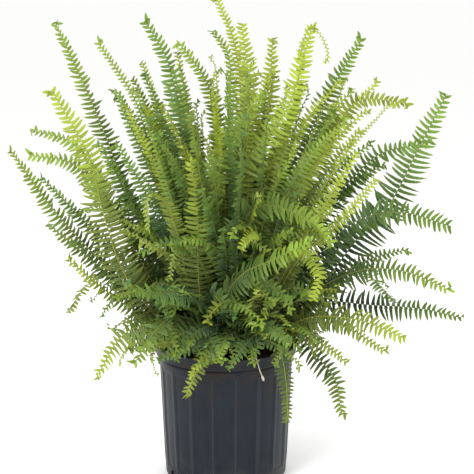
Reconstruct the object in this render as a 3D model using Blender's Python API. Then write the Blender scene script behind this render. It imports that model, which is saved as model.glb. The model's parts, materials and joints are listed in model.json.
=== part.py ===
"""A sword fern in a black nursery pot: pot, potting mix, crown, one runner and the fronds.

Metres, +Z up, the front is -Y. The origin is the centre of the pot's base, on the floor.
"""

import math

import bmesh
import bpy
from mathutils import Quaternion, Vector
from mathutils.bvhtree import BVHTree

for old in list(bpy.data.objects):
    bpy.data.objects.remove(old, do_unlink=True)

MM = 0.001
CM = 0.01

# ---- driving dimensions -------------------------------------------------------------------
GAP = 0.4 * MM  # clear space between pieces that rest on each other

POT_SEGMENTS = 54  # three to a flute: one ridge and two edges of the flat panel
POT_FLUTES = 18
RIDGE_TURN = math.radians(9)  # how far the front ridge stands to the right of the front
RIDGE_OUT = 0.9 * MM
PANEL_IN = 1.1 * MM
# The wall from the middle of the base, up the outside, over the rim and down the inside:
# radius, height and how strongly the flutes show there.
POT_WALL = (
    (112.0, 0.0, 0),
    (117.2, 1.2, 0),
    (119.0, 4.5, 0),
    (119.6, 22.0, 0),
    (120.2, 30.0, 1),
    (128.4, 215.0, 1),
    (129.2, 224.0, 0),
    (130.0, 233.0, 0),
    (129.6, 237.5, 0),
    (127.5, 240.0, 0),
    (128.0, 242.5, 0),
    (136.4, 243.5, 0),
    (137.0, 246.0, 0),
    (138.6, 261.0, 0),
    (139.5, 263.2, 0),
    (138.6, 265.0, 0),
    (135.4, 264.6, 0),
    (133.8, 261.5, 0),
    (132.5, 244.0, 0),
    (126.2, 236.0, 0),
    (116.0, 7.0, 0),
    (113.0, 4.5, 0),
)
DRAIN_HOLES = 5
DRAIN_RADIUS = 6 * MM
DRAIN_HEIGHT = 13 * MM
DRAIN_REACH = 118 * MM  # the holes are cut through the wall at this distance from the middle
DRAIN_DEPTH = 16 * MM
DRAIN_TURN = math.radians(-60)  # the first drain hole, to the left of the front

# The potting mix: radius and height of its outline, bottom to top.
MIX_OUTLINE = (
    (112.6, 4.9),
    (115.5, 7.4),
    (125.4, 233.0),
    (122.0, 236.0),
    (108.0, 238.4),
    (95.0, 237.2),
)
MIX_SEGMENTS = 48
MIX_LUMP = 1.4 * MM
MIX_LUMPY_ROWS = (3, 4)  # the rows of the outline that make the loose top

CROWN_RADIUS = 90 * MM
CROWN_HEIGHT = 27 * MM
CROWN_EDGE = 5 * MM
CROWN_LUMP = 2.2 * MM
CROWN_FOOT = 237.2 * MM + GAP
CROWN_SEGMENTS = 30
CROWN_RINGS = 6

STALK_SHARE = 0.16  # the bare part of a frond below its first leaflets
STALK_RADIUS = 1.4 * MM
MIDRIB_HALF = 0.9 * MM
TOOTH_PITCH = 31 * MM  # one tooth stands for three leaflets
TOOTH_AT = 0.12  # where in its pitch a tooth stands out, and where the notch after it lies
NOTCH_AT = 0.6
NOTCH = 0.2  # width between the teeth, as a share of their width
TOOTH_SWEEP = 0.22  # how far a tooth leans towards the tip, as a share of its width
TOOTH_DROOP = 0.16
BLADE_TIP_HALF = 1.6 * MM
BLADE_FOOT = 0.5  # width of the blade where it starts, as a share of its full width
BLADE_OPENING = 2.6  # how fast it gets to its full width
BLADE_BELLY = 2.2  # how long it stays wide
BLADE_POINT = 1.15  # how finely it narrows to the tip
FOOT_CLEARANCE = 1.2 * MM
FOOT_RISE = 7 * CM  # stalks and the runner start off upwards: their curve comes from this far below
FOOT_SPREAD = 0.25
FOOT_LIMIT = 0.97 * CROWN_RADIUS
ROOM_SIDE = 1.5 * MM  # room kept free beside and above each blade
ROOM_ABOVE = 0.6 * MM


def hex_colour(code):
    """The linear colour of an sRGB hex code."""
    parts = [int(code[i : i + 2], 16) / 255 for i in (1, 3, 5)]
    return tuple(p / 12.92 if p <= 0.04045 else ((p + 0.055) / 1.055) ** 2.4 for p in parts)


def material(name, code, roughness):
    made = bpy.data.materials.new(name)
    made.use_nodes = True
    shader = made.node_tree.nodes["Principled BSDF"]
    shader.inputs["Base Color"].default_value = (*hex_colour(code), 1)
    shader.inputs["Roughness"].default_value = roughness
    shader.inputs["Metallic"].default_value = 0
    made.diffuse_color = (*hex_colour(code), 1)
    return made


POT_PLASTIC = material("black_pot_plastic", "#2C3238", 0.38)
BARK_MIX = material("bark_potting_mix", "#2B1D15", 0.95)
CROWN_FIBRE = material("crown_fibre", "#3A2A1A", 0.9)
RUNNER_SKIN = material("runner_skin", "#A7A08A", 0.6)
LEAVES = {
    "young": material("leaf_young", "#9BBB2E", 0.45),
    "mature": material("leaf_mature", "#5E8A2C", 0.42),
    "deep": material("leaf_deep", "#2C5638", 0.4),
}


def make_object(name, points, faces, skin, smooth):
    mesh = bpy.data.meshes.new(name)
    mesh.from_pydata([tuple(p) for p in points], [], faces)
    edit = bmesh.new()
    edit.from_mesh(mesh)
    bmesh.ops.recalc_face_normals(edit, faces=edit.faces)
    bmesh.ops.triangulate(edit, faces=edit.faces)
    edit.to_mesh(mesh)
    edit.free()
    mesh.materials.append(skin)
    for polygon in mesh.polygons:
        polygon.use_smooth = smooth
    made = bpy.data.objects.new(name, mesh)
    bpy.context.scene.collection.objects.link(made)
    return made


def ring_faces(rings, size, first_pole, last_pole):
    """Quads between successive rings of points, and a fan at each end."""
    faces = []
    for ring in range(rings - 1):
        low = ring * size
        for i in range(size):
            j = (i + 1) % size
            faces.append((low + i, low + j, low + size + j, low + size + i))
    top = (rings - 1) * size
    for i in range(size):
        j = (i + 1) % size
        faces.append((j, i, first_pole))
        faces.append((top + i, top + j, last_pole))
    return faces


# ---- pot ------------------------------------------------------------------------------------
def flute_offset(segment):
    """The ridge stands out and the two panel edges beside it lie in."""
    return RIDGE_OUT if segment % (POT_SEGMENTS // POT_FLUTES) == 0 else -PANEL_IN


points = []
for radius, height, flute in POT_WALL:
    for segment in range(POT_SEGMENTS):
        turn = RIDGE_TURN + 2 * math.pi * segment / POT_SEGMENTS
        reach = radius * MM + flute * flute_offset(segment)
        points.append((reach * math.sin(turn), -reach * math.cos(turn), height * MM))
base_pole = len(points)
points.append((0, 0, 0))
points.append((0, 0, POT_WALL[-1][1] * MM))
pot = make_object(
    "pot",
    points,
    ring_faces(len(POT_WALL), POT_SEGMENTS, base_pole, base_pole + 1),
    POT_PLASTIC,
    True,
)

for hole in range(DRAIN_HOLES):
    turn = DRAIN_TURN + 2 * math.pi * hole / DRAIN_HOLES
    outward = Vector((math.sin(turn), -math.cos(turn), 0))
    bpy.ops.mesh.primitive_cylinder_add(vertices=16, radius=DRAIN_RADIUS, depth=DRAIN_DEPTH)
    cutter = bpy.context.object
    cutter.name = f"drain_cutter_{hole + 1}"
    cutter.rotation_euler = outward.to_track_quat("Z", "Y").to_euler()
    cutter.location = outward * DRAIN_REACH + Vector((0, 0, DRAIN_HEIGHT))
    cutter.hide_render = True
    cutter.display_type = "WIRE"
    cut = pot.modifiers.new(cutter.name, "BOOLEAN")
    cut.operation = "DIFFERENCE"
    cut.solver = "EXACT"
    cut.object = cutter

# ---- potting mix ----------------------------------------------------------------------------
points = []
for row, (radius, height) in enumerate(MIX_OUTLINE):
    for segment in range(MIX_SEGMENTS):
        turn = 2 * math.pi * segment / MIX_SEGMENTS
        lump = MIX_LUMP * (math.sin(5 * turn + row) + 0.6 * math.sin(11 * turn))
        level = height * MM + (lump if row in MIX_LUMPY_ROWS else 0)
        points.append((radius * MM * math.sin(turn), radius * MM * math.cos(turn), level))
mix_pole = len(points)
points.append((0, 0, MIX_OUTLINE[0][1] * MM))
points.append((0, 0, MIX_OUTLINE[-1][1] * MM))
potting_mix = make_object(
    "potting_mix",
    points,
    ring_faces(len(MIX_OUTLINE), MIX_SEGMENTS, mix_pole, mix_pole + 1),
    BARK_MIX,
    True,
)


# ---- crown ----------------------------------------------------------------------------------
def crown_top(x, y):
    """Height of the crown's lumpy top above its foot."""
    share = min(1.0, math.hypot(x, y) / CROWN_RADIUS)
    dome = CROWN_EDGE + (CROWN_HEIGHT - CROWN_EDGE) * math.sqrt(1 - share * share)
    turn = math.atan2(y, x)
    lumps = math.sin(4 * turn + 1) * math.sin(3 * math.pi * share)
    return dome + CROWN_LUMP * lumps * (1 - share)


points = []
for segment in range(CROWN_SEGMENTS):
    turn = 2 * math.pi * segment / CROWN_SEGMENTS
    points.append((CROWN_RADIUS * math.cos(turn), CROWN_RADIUS * math.sin(turn), CROWN_FOOT))
for ring in range(CROWN_RINGS):
    reach = CROWN_RADIUS * math.cos(math.pi / 2 * ring / CROWN_RINGS)
    for segment in range(CROWN_SEGMENTS):
        turn = 2 * math.pi * segment / CROWN_SEGMENTS
        x, y = reach * math.cos(turn), reach * math.sin(turn)
        points.append((x, y, CROWN_FOOT + crown_top(x, y)))
crown_pole = len(points)
points.append((0, 0, CROWN_FOOT))
points.append((0, 0, CROWN_FOOT + crown_top(0, 0)))
crown = make_object(
    "crown",
    points,
    ring_faces(CROWN_RINGS + 1, CROWN_SEGMENTS, crown_pole, crown_pole + 1),
    CROWN_FIBRE,
    True,
)


# ---- curves for the runner and the fronds -----------------------------------------------------
def smooth_path(marks, per_span=14):
    """A smooth curve through the marks. The foot of the curve starts off upwards."""
    back = FOOT_SPREAD * (marks[0] - marks[1])
    below = marks[0] + Vector((back.x, back.y, -FOOT_RISE))
    beyond = 2 * marks[-1] - marks[-2]
    line = [below, *marks, beyond]
    knots = [0.0]
    for a, b in zip(line, line[1:]):
        knots.append(knots[-1] + math.sqrt((b - a).length))
    slopes = []
    for i in range(1, len(line) - 1):
        before, after = knots[i] - knots[i - 1], knots[i + 1] - knots[i]
        back = (line[i] - line[i - 1]) / before
        ahead = (line[i + 1] - line[i]) / after
        slopes.append((back * after + ahead * before) / (before + after))
    path = []
    for i in range(len(marks) - 1):
        span = knots[i + 2] - knots[i + 1]
        for step in range(per_span):
            t = step / per_span
            path.append(
                marks[i] * (1 + 2 * t) * (1 - t) ** 2
                + slopes[i] * span * t * (1 - t) ** 2
                + marks[i + 1] * t * t * (3 - 2 * t)
                + slopes[i + 1] * span * t * t * (t - 1)
            )
    path.append(marks[-1])
    return path


def along(path, stations):
    """Points and directions of the path at these shares of its length."""
    lengths = [0.0]
    for a, b in zip(path, path[1:]):
        lengths.append(lengths[-1] + (b - a).length)
    places, ways, i = [], [], 0
    for share in stations:
        wanted = share * lengths[-1]
        while i < len(path) - 2 and lengths[i + 1] < wanted:
            i += 1
        part = (wanted - lengths[i]) / (lengths[i + 1] - lengths[i])
        places.append(path[i].lerp(path[i + 1], part))
        low, high = max(0, i - 1), min(len(path) - 1, i + 2)
        ways.append((path[high] - path[low]).normalized())
    return places, ways, lengths[-1]


def carried(ways, start, side):
    """The side direction carried along the path without turning about it."""
    sides = [None] * len(ways)
    sides[start] = (side - ways[start] * side.dot(ways[start])).normalized()
    for i in range(start + 1, len(ways)):
        sides[i] = (sides[i - 1] - ways[i] * sides[i - 1].dot(ways[i])).normalized()
    for i in range(start - 1, -1, -1):
        sides[i] = (sides[i + 1] - ways[i] * sides[i + 1].dot(ways[i])).normalized()
    return sides


def crown_foot(x, y):
    """The point just above the crown where a stalk starts."""
    return Vector((x, y, CROWN_FOOT + crown_top(x, y) + FOOT_CLEARANCE))


# ---- runner ---------------------------------------------------------------------------------
RUNNER_MARKS = ((5.2, -12.0, 28.2), (5.7, -14.2, 27.2), (6.4, -15.0, 25.0), (7.2, -15.2, 22.9))
RUNNER_FOOT = (3.6, -7.2)
RUNNER_RADIUS = 0.9 * MM
RUNNER_BUD = 2.3 * MM
RUNNER_SIDES = 6
marks = [crown_foot(RUNNER_FOOT[0] * CM, RUNNER_FOOT[1] * CM)]
marks += [Vector(mark) * CM for mark in RUNNER_MARKS]
shares = [0.04, 0.15, 0.3, 0.42, 0.52, 0.62, 0.72, 0.84, 0.92, 0.955, 0.985]
places, ways, _ = along(smooth_path(marks), [0, *shares, 1])
sides = carried(ways, 0, Vector((1, 0.2, 0)))
points = []
for i, share in enumerate(shares, 1):
    radius = RUNNER_RADIUS if share < 0.94 else RUNNER_BUD
    up = sides[i].cross(ways[i])
    for corner in range(RUNNER_SIDES):
        turn = 2 * math.pi * corner / RUNNER_SIDES
        points.append(places[i] + radius * (math.cos(turn) * sides[i] + math.sin(turn) * up))
runner_pole = len(points)
points += [places[0], places[-1]]
runner = make_object(
    "runner",
    points,
    ring_faces(len(shares), RUNNER_SIDES, runner_pole, runner_pole + 1),
    RUNNER_SKIN,
    True,
)

# ---- fronds ---------------------------------------------------------------------------------
# Each frond: its foot on the crown (x, y), the points its midrib passes on the way to the tip
# (x, y, z), all in centimetres; where its upper side looks (degrees to the right of the front,
# degrees up); half its width in centimetres; its twist from foot to tip in degrees; its age.
FRONDS = (
    # tall, in the middle
    ((0.5, 5.5), ((2.0, 9, 50), (3.2, 10, 70), (1.6, 10, 84), (-1.7, 10, 92)),
     -30, 20, 2.2, 60, "young"),
    ((0.0, 2.6), ((0.5, 2, 50), (1.0, 1, 74), (0.5, 0.5, 82), (-2.2, 0, 86)),
     -35, 10, 2.4, 0, "mature"),
    ((1.8, -2.4), ((3.8, -4, 50), (4.8, -5, 73), (3.1, -4, 87.3)), 0, 10, 3.6, 0, "young"),
    ((2.8, 3.6), ((6, 5, 50), (8.5, 5, 74), (9, 5, 84.5)), 0, 15, 3.3, 0, "young"),
    ((-2.6, -1.0), ((-6, -3, 52), (-8.5, -4, 71), (-10.6, -4, 81), (-14.6, -5, 88.3)),
     10, 15, 3.3, 0, "deep"),
    ((-1.4, 3.8), ((-1, 4, 52), (-1, 5, 66), (-3.6, 5, 76.5), (-8.8, 4, 84)),
     30, 40, 2.8, 0, "mature"),
    ((-4.2, 4.2), ((-11, 7, 52), (-13.5, 6, 72.5), (-16, 6, 80)), 0, 25, 1.6, 0, "young"),
    ((-4.6, 1.0), ((-11, -1, 50), (-14, -2, 62), (-16.5, -3, 73), (-23.3, -4, 84.3)),
     0, 20, 3.0, 20, "mature"),
    ((-6.2, 3.0), ((-16, 1, 48), (-25, 4, 71), (-32.4, 6, 87.4)), 40, 40, 3.2, 0, "mature"),
    ((2.0, -4.6), ((-0.5, -6, 50), (2.2, -7, 60.5), (11, -6, 71.5), (16, -4, 87)),
     0, 10, 3.6, 0, "young"),
    ((4.6, 2.2), ((12.2, 3, 53), (15.5, 3, 65), (20.8, 2, 76.5), (25.5, 1, 84.5)),
     -10, 20, 3.5, 0, "deep"),
    # left side
    ((-7.2, -4.6), ((-18.4, -10, 41.5), (-21.7, -13, 52.5), (-24.5, -16, 65.5), (-30, -18, 76.4)),
     0, 25, 3.7, 0, "young"),
    ((-7.0, -2.0), ((-16, -4, 43), (-22.5, -6, 57), (-28, -7, 66), (-35.5, -7, 68.6)),
     30, 45, 3.0, 0, "mature"),
    ((-7.6, 1.2), ((-16, 1, 42), (-23, 1, 54.5), (-29, 0, 61.3), (-37.3, 0, 63)),
     20, 45, 3.2, 0, "mature"),
    ((-8.2, -2.8), ((-15, -6, 34), (-24, -8, 44.8), (-31, -9, 53), (-39, -10, 65)),
     30, 45, 2.8, 0, "mature"),
    ((-7.6, 3.4), ((-16, 5, 36), (-25, 6, 46), (-36, 7, 57.5)), 30, 45, 2.6, 0, "deep"),
    ((-8.4, -0.4), ((-16, 0, 33.5), (-23, 0, 40), (-34, 0, 49.5)), 30, 50, 2.6, 0, "mature"),
    ((-8.0, -3.8), ((-14, -5, 31.5), (-21, -6, 36.5), (-29.5, -7, 44)), 30, 50, 2.2, 0, "young"),
    ((-5.2, -6.8), ((-12, -10.8, 32.5), (-18.5, -12, 31.3), (-24, -13, 23)),
     -30, 40, 3.2, 0, "young"),
    ((-8.2, 4.6), ((-15, 8, 35), (-21.5, 9, 34), (-25, 9, 29.5)), -20, 50, 2.4, 0, "deep"),
    ((-7.4, 4.4), ((-13, 7.5, 31), (-17.5, 8, 28.5), (-19.2, 8.5, 22)), -30, 50, 1.8, 0, "deep"),
    # right side
    ((5.4, 0.2), ((14.5, -3, 56), (20, -5, 68), (24.5, -6, 73.8), (33, -8, 73.6)),
     0, 25, 2.9, 0, "young"),
    ((5.4, 4.4), ((18, 6, 50), (24.5, 7, 57), (30, 8, 62), (40.3, 9, 64.4)),
     -20, 35, 3.8, 0, "deep"),
    ((7.2, 1.2), ((14.5, 0, 32), (25, -1, 46.5), (31, -2, 53.5), (36, -3, 64), (41, -3, 74.3)),
     0, 20, 4.4, 0, "deep"),
    ((5.4, -5.4), ((13, -10, 44), (20, -13, 51.5), (27, -14, 60)), -10, 30, 1.8, 0, "young"),
    ((7.0, -2.0), ((15, -5, 41), (24.5, -7, 51.5), (33, -8, 53.3), (40.5, -9, 51.3)),
     0, 30, 3.9, 0, "deep"),
    ((7.6, -0.4), ((16, -2, 36), (26, -4, 41.5), (34, -5, 41.4), (42, -6, 38.2)),
     -20, 50, 3.4, 0, "mature"),
    ((7.8, 3.0), ((17, 4, 32.8), (29, 4, 32.6), (39, 4, 31.8), (46, 3, 30.4)),
     -10, 45, 4.0, 0, "deep"),
    ((6.6, -4.4), ((15, -9, 33.2), (24.6, -13, 34), (32.4, -17, 31.8)), 0, 45, 3.4, 0, "young"),
    ((8.4, -1.8), ((15.5, -3, 30.8), (23, -4, 30.3), (30.4, -5, 25.8)), -10, 45, 2.2, 0, "young"),
    ((7.4, -3.8), ((13, -7, 29.6), (18.5, -9, 28.2), (22.8, -10, 25)), 10, 50, 2.0, 0, "young"),
    ((8.2, 0.8), ((12.6, 1.5, 29.4), (17, 1, 24), (21.5, 0, 18.5), (22.7, -1, 12.3)),
     10, 40, 3.4, 0, "mature"),
    # towards the front
    ((-3.8, -5.4), ((-4.2, -9, 53), (-0.5, -9, 64.5), (7, -8, 75.5)), -10, 15, 3.4, 0, "mature"),
    ((-4.2, -7.0), ((-5, -11, 44.5), (-5, -13, 56), (-6.2, -12.5, 63)), 0, 10, 3.3, 0, "young"),
    ((-5.4, -3.6), ((-8.5, -12, 49), (-11, -18, 57.5), (-13.4, -21, 58.5), (-13.2, -23, 53.2)),
     -30, 40, 2.0, 0, "young"),
    ((0.4, -5.8), ((1, -10, 47), (6.4, -14, 55.5), (15.2, -20, 53.8), (18.6, -23, 50.4)),
     10, 35, 3.4, 0, "mature"),
    ((-0.2, -8.2), ((0, -13.5, 38), (3.6, -17.5, 44), (9, -21, 47.2), (15, -24, 51)),
     -10, 45, 3.6, 0, "mature"),
    ((4.8, -6.2), ((10, -12, 43.5), (13.8, -17, 48), (16.8, -21, 44.5), (15.6, -23, 40.5)),
     30, 50, 2.4, 0, "young"),
    ((-2.6, -8.0), ((-3.4, -13, 36), (-6.5, -17.5, 40.3), (-11.8, -22, 41.2), (-17.3, -26, 43.5)),
     -10, 50, 3.6, 0, "deep"),
    ((-5.6, -6.4), ((-8.6, -12, 34.8), (-12, -17, 33.8), (-16.2, -21, 28.2)),
     -30, 45, 3.2, 0, "mature"),
    ((1.3, -8.3), ((2.4, -11.5, 32.5), (6.4, -16.5, 34.3), (11.6, -22, 32.2)),
     0, 50, 2.6, 0, "deep"),
    ((3.4, -8.0), ((8.2, -9.6, 31.8), (10.2, -12.4, 28.2), (11.3, -13.2, 22.5), (11.7, -13, 15.5)),
     10, 20, 1.8, 0, "mature"),
    ((-3.4, -8.2), ((-3, -12, 31), (-4.4, -15, 27.4), (-7, -16, 21.8)), -10, 40, 1.7, 0, "young"),
    # behind, out of sight from the front
    ((-2.6, 7.0), ((-5, 13, 48), (-8, 19, 64), (-12, 22, 74)), 170, 40, 3.2, 0, "mature"),
    ((3.0, 6.4), ((8, 12, 50), (12, 18, 64), (15, 22, 74.5)), 190, 40, 3.2, 0, "young"),
    ((-4.8, 6.4), ((-9, 15, 42), (-15, 25, 51), (-19, 33, 47)), 160, 70, 3.4, 0, "deep"),
    ((1.0, 8.0), ((2, 17, 46), (3, 28, 54.5), (3.5, 37, 50)), 180, 70, 3.6, 0, "mature"),
    ((5.6, 6.2), ((12, 15, 45), (19, 23, 52), (26, 29, 49)), 200, 70, 3.4, 0, "deep"),
    ((-5.0, 4.6), ((-15, 12, 45), (-24, 18, 51), (-32, 23, 47)), 140, 70, 3.2, 0, "mature"),
    ((-0.8, 8.6), ((-1.5, 18, 34), (-3, 29, 36), (-4, 39, 28.5)), 180, 80, 3.4, 0, "young"),
    ((3.6, 7.8), ((9, 17, 34), (14.5, 28, 35), (18, 36, 27)), 200, 80, 3.4, 0, "mature"),
    ((-4.0, 7.8), ((-9.5, 17, 33), (-14.5, 27, 34), (-18, 35, 26)), 160, 80, 3.2, 0, "mature"),
    ((7.2, 4.8), ((17, 11, 35), (28, 18, 36), (36, 23, 28.5)), 220, 75, 3.3, 0, "mature"),
    ((-6.4, 5.4), ((-12.5, 12, 35.5), (-21, 18, 37), (-29, 21.5, 33), (-33.5, 23, 26.5)),
     140, 75, 3.3, 0, "young"),
    ((1.6, 8.6), ((3.6, 14, 30.5), (5.5, 18.4, 26), (6.6, 20.4, 17)), 180, 60, 2.4, 0, "young"),
)


def blade_share(u):
    """Width of the blade at share u of its length: quickly wide, long and even, then pointed."""
    return min(1.0, BLADE_FOOT + BLADE_OPENING * u) * (1 - u**BLADE_BELLY) ** BLADE_POINT


def frond_stations(length):
    """Where the rings of a frond lie, as shares of its length, and where its blade starts."""
    teeth = max(6, round(length * (1 - STALK_SHARE) / TOOTH_PITCH))
    stalk = [0.012, 0.5 * STALK_SHARE]
    steps = [tooth + part for tooth in range(teeth) for part in (TOOTH_AT, NOTCH_AT)]
    return stalk, [STALK_SHARE + (1 - STALK_SHARE) * step / teeth for step in steps]


def frond_surface(foot, marks, look, half_width, twist, room):
    """Points and faces of one toothed blade on its stalk. Room is added all round when asked for."""
    path = smooth_path([crown_foot(*foot), *marks])
    length = sum((b - a).length for a, b in zip(path, path[1:]))
    stalk, blade = frond_stations(length)
    places, ways, length = along(path, [0, *stalk, *blade, 1])
    start = 1 + len(stalk) + len(blade) // 2
    flat = math.cos(look[1])
    facing = Vector((math.sin(look[0]) * flat, -math.cos(look[0]) * flat, math.sin(look[1])))
    sides = carried(ways, start, ways[start].cross(facing))
    points = []
    for i in range(1, len(places) - 1):
        share = (i - start) / len(places)
        side = Quaternion(ways[i], twist * share) @ sides[i]
        up = side.cross(ways[i])
        if i <= len(stalk):
            radius = STALK_RADIUS + room * ROOM_ABOVE
            points += [places[i] - side * radius, places[i] + up * radius]
            points += [places[i] + side * radius, places[i] - up * radius]
            continue
        u = (i - len(stalk) - 1) / len(blade)
        wide = max(BLADE_TIP_HALF, half_width * blade_share(u))
        half = MIDRIB_HALF * (1 - 0.6 * u) + room * ROOM_ABOVE
        reach = wide if (i - len(stalk)) % 2 else NOTCH * wide
        lean = ways[i] * TOOTH_SWEEP * reach - up * TOOTH_DROOP * reach
        edge = side * (reach + room * ROOM_SIDE)
        points += [places[i] + lean - edge, places[i] + up * half]
        points += [places[i] + lean + edge, places[i] - up * half]
    rings = len(points) // 4
    faces = ring_faces(rings, 4, len(points), len(points) + 1)
    return [*points, places[0], places[-1]], faces


def ways_to_shift():
    """Small moves to try, the smallest first: foot across the crown, swing back, lift and turn."""
    feet = [(0.0, 0.0, 0.0)]
    for reach in (0.5, 1.0, 1.6):
        for step in range(8):
            turn = step * math.pi / 4
            feet.append((reach * math.cos(turn) * CM, reach * math.sin(turn) * CM, reach * 2))
    moves = []
    for dx, dy, effort in feet:
        for swing in (0, 1, -1, 2, -2, 3, -3, 4.5, -4.5, 6, -6):
            for lift in (0, 0.7, -0.7, 1.5):
                for turn in (0, 12, -12, 25, -25):
                    cost = effort + 0.8 * abs(swing) + 2 * abs(lift) + abs(turn) / 14
                    moves.append((cost, dx, dy, swing * CM, lift * CM, turn))
    return sorted(moves)


def shifted(marks, swing, lift):
    """The marks moved back along a line that falls gently, the tip by the whole swing, and lifted."""
    last = len(marks)
    return [
        mark + Vector((0, swing, -0.2 * swing)) * ((i + 1) / last) + Vector((0, 0, lift))
        for i, mark in enumerate(marks)
    ]


def tree_of(obj):
    mesh = obj.data
    corners = [tuple(polygon.vertices) for polygon in mesh.polygons]
    return BVHTree.FromPolygons([vertex.co for vertex in mesh.vertices], corners)


MOVES = ways_to_shift()
fixed_trees = [tree_of(obj) for obj in (pot, potting_mix, crown, runner)]
frond_trees = []
for number, (foot, marks, right, high, half_width, twist, age) in enumerate(FRONDS, 1):
    marks = [Vector(mark) * CM for mark in marks]
    for _, dx, dy, swing, lift, turn in MOVES:
        place = (foot[0] * CM + dx, foot[1] * CM + dy)
        if math.hypot(*place) > FOOT_LIMIT:
            continue
        look = (math.radians(right + turn), math.radians(high))
        shape = (place, shifted(marks, swing, lift), look, half_width * CM, math.radians(twist))
        tree = BVHTree.FromPolygons(*frond_surface(*shape, 1))
        if any(tree.overlap(other) for other in frond_trees):
            continue
        bare = BVHTree.FromPolygons(*frond_surface(*shape, 0))
        if any(bare.overlap(other) for other in fixed_trees):
            continue
        break
    else:
        raise ValueError(f"frond {number} finds no room")
    frond_trees.append(bare)
    points, faces = frond_surface(*shape, 0)
    make_object(f"frond_{number:02d}", points, faces, LEAVES[age], False)
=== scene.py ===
# %% [markdown]
# # A potted sword fern
#
# A sword fern is a rosette: every frond starts on one short crown, rises on a bare stalk, and
# carries two rows of narrow leaflets along its midrib. This lesson dresses a measured model of
# such a plant. The model gives each frond's midrib, the way its upper side looks and its width.
# The lesson grows the leaflets, and makes the pot, the bark mix and the crown around them.

# %% The frame that everything is built around
import functools
import itertools
import json
import math

import bmesh
import bpy
import numpy as np
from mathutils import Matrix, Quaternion, Vector


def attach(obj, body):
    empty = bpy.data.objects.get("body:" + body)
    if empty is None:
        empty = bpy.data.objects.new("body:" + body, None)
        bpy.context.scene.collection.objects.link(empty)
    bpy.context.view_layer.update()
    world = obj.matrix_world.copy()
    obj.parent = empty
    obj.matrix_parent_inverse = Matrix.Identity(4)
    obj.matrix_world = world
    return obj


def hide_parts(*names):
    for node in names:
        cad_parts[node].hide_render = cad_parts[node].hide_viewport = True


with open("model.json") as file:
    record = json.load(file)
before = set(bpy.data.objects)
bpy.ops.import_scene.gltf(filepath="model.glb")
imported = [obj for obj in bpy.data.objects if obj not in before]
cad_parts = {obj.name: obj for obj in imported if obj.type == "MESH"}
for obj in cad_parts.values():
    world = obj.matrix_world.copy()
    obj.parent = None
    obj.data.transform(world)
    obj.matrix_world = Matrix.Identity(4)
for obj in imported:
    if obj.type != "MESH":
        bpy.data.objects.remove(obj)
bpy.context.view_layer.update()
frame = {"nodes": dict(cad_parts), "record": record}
frond_nodes = sorted(name for name in frame["nodes"] if name.startswith("frond_"))

# %% [markdown]
# ## Units, colours and nodes
#
# The frame is in metres, and a plant is easier to think of in millimetres. Colours are picked as
# sRGB hex codes, as from a paint card, while the renderer works with linear light, so one
# function turns the first into the second. Another adds a shader node with its settings and links.

# %% Small helpers
MM = 0.001
CM = 0.01


def linear(code):
    """The linear colour, with alpha, of an sRGB hex code."""
    parts = np.array([int(code[i : i + 2], 16) / 255 for i in (1, 3, 5)])
    light = np.where(parts <= 0.04045, parts / 12.92, ((parts + 0.055) / 1.055) ** 2.4)
    return (*light.tolist(), 1.0)


def set_inputs(node, inputs):
    """Links a node's inputs to outputs, or sets them to values. A hex code is a colour."""
    for key, value in inputs.items():
        socket = node.inputs[key]
        if isinstance(value, bpy.types.NodeSocket):
            node.id_data.links.new(value, socket)
        else:
            socket.default_value = linear(value) if isinstance(value, str) else value


def add_node(tree, kind, *inputs, output=0, named=(), **settings):
    """Adds a shader node with its settings, and its inputs in order or by name. Gives one output."""
    made = tree.nodes.new("ShaderNode" + kind)
    for key, value in settings.items():
        setattr(made, key, value)
    set_inputs(made, {**dict(enumerate(inputs)), **dict(named)})
    return made.outputs[output]


def new_material(name, **shader_values):
    """A material, the function that adds nodes to it, and its shader with plain values set."""
    made = bpy.data.materials.new(name)
    made.use_nodes = True
    shader = made.node_tree.nodes["Principled BSDF"]
    set_inputs(shader, {key.replace("_", " "): value for key, value in shader_values.items()})
    return made, functools.partial(add_node, made.node_tree), shader


def smooth_step(low, high, value):
    """Rises from 0 to 1 between low and high, with soft ends."""
    share = np.clip((value - low) / (high - low), 0, 1)
    return share * share * (3 - 2 * share)


def unit(vectors):
    """The same directions, each one unit long."""
    return vectors / np.linalg.norm(vectors, axis=-1, keepdims=True)


print("mid green is", linear("#6B942F"))

# %% [markdown]
# ## Meshes from tables of points
#
# Thousands of leaflets are far too many to make one by one with operators. They are computed as
# whole tables of points with numpy and handed over in one go. Each leaf surface also carries
# numbers that its material reads: how far along the frond and along the leaflet a point lies,
# how near the margin it is, and which side of the leaf a face is on.

# %% A mesh object from points and faces
def mesh_object(name, points, faces, materials, slots=None):
    """A smooth shaded object in the scene. The slots say which material each face has."""
    mesh = bpy.data.meshes.new(name)
    mesh.from_pydata(np.asarray(points).tolist(), [], faces)
    for item in materials:
        mesh.materials.append(item)
    if slots is not None:
        mesh.polygons.foreach_set("material_index", np.asarray(slots, np.int32))
    mesh.polygons.foreach_set("use_smooth", np.ones(len(mesh.polygons), bool))
    mesh.update()
    made = bpy.data.objects.new(name, mesh)
    bpy.context.scene.collection.objects.link(made)
    return made


def set_attribute(mesh, name, kind, domain, values):
    """Numbers or vectors on the mesh that a material reads by name."""
    field = "vector" if kind == "FLOAT_VECTOR" else "value"
    made = mesh.attributes.new(name, kind, domain)
    made.data.foreach_set(field, np.asarray(values, np.float32).ravel())


def set_map(mesh, name, values):
    """A flat map of the mesh, with one place for each corner of each face."""
    layer = mesh.uv_layers.new(name=name, do_init=False)
    layer.uv.foreach_set("vector", np.asarray(values, np.float32).ravel())


# %% [markdown]
# ## The camera
#
# The plant is looked at from a little above its middle, from two and a half metres away, through
# a lens that takes in the whole spread of the fronds.

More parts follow.
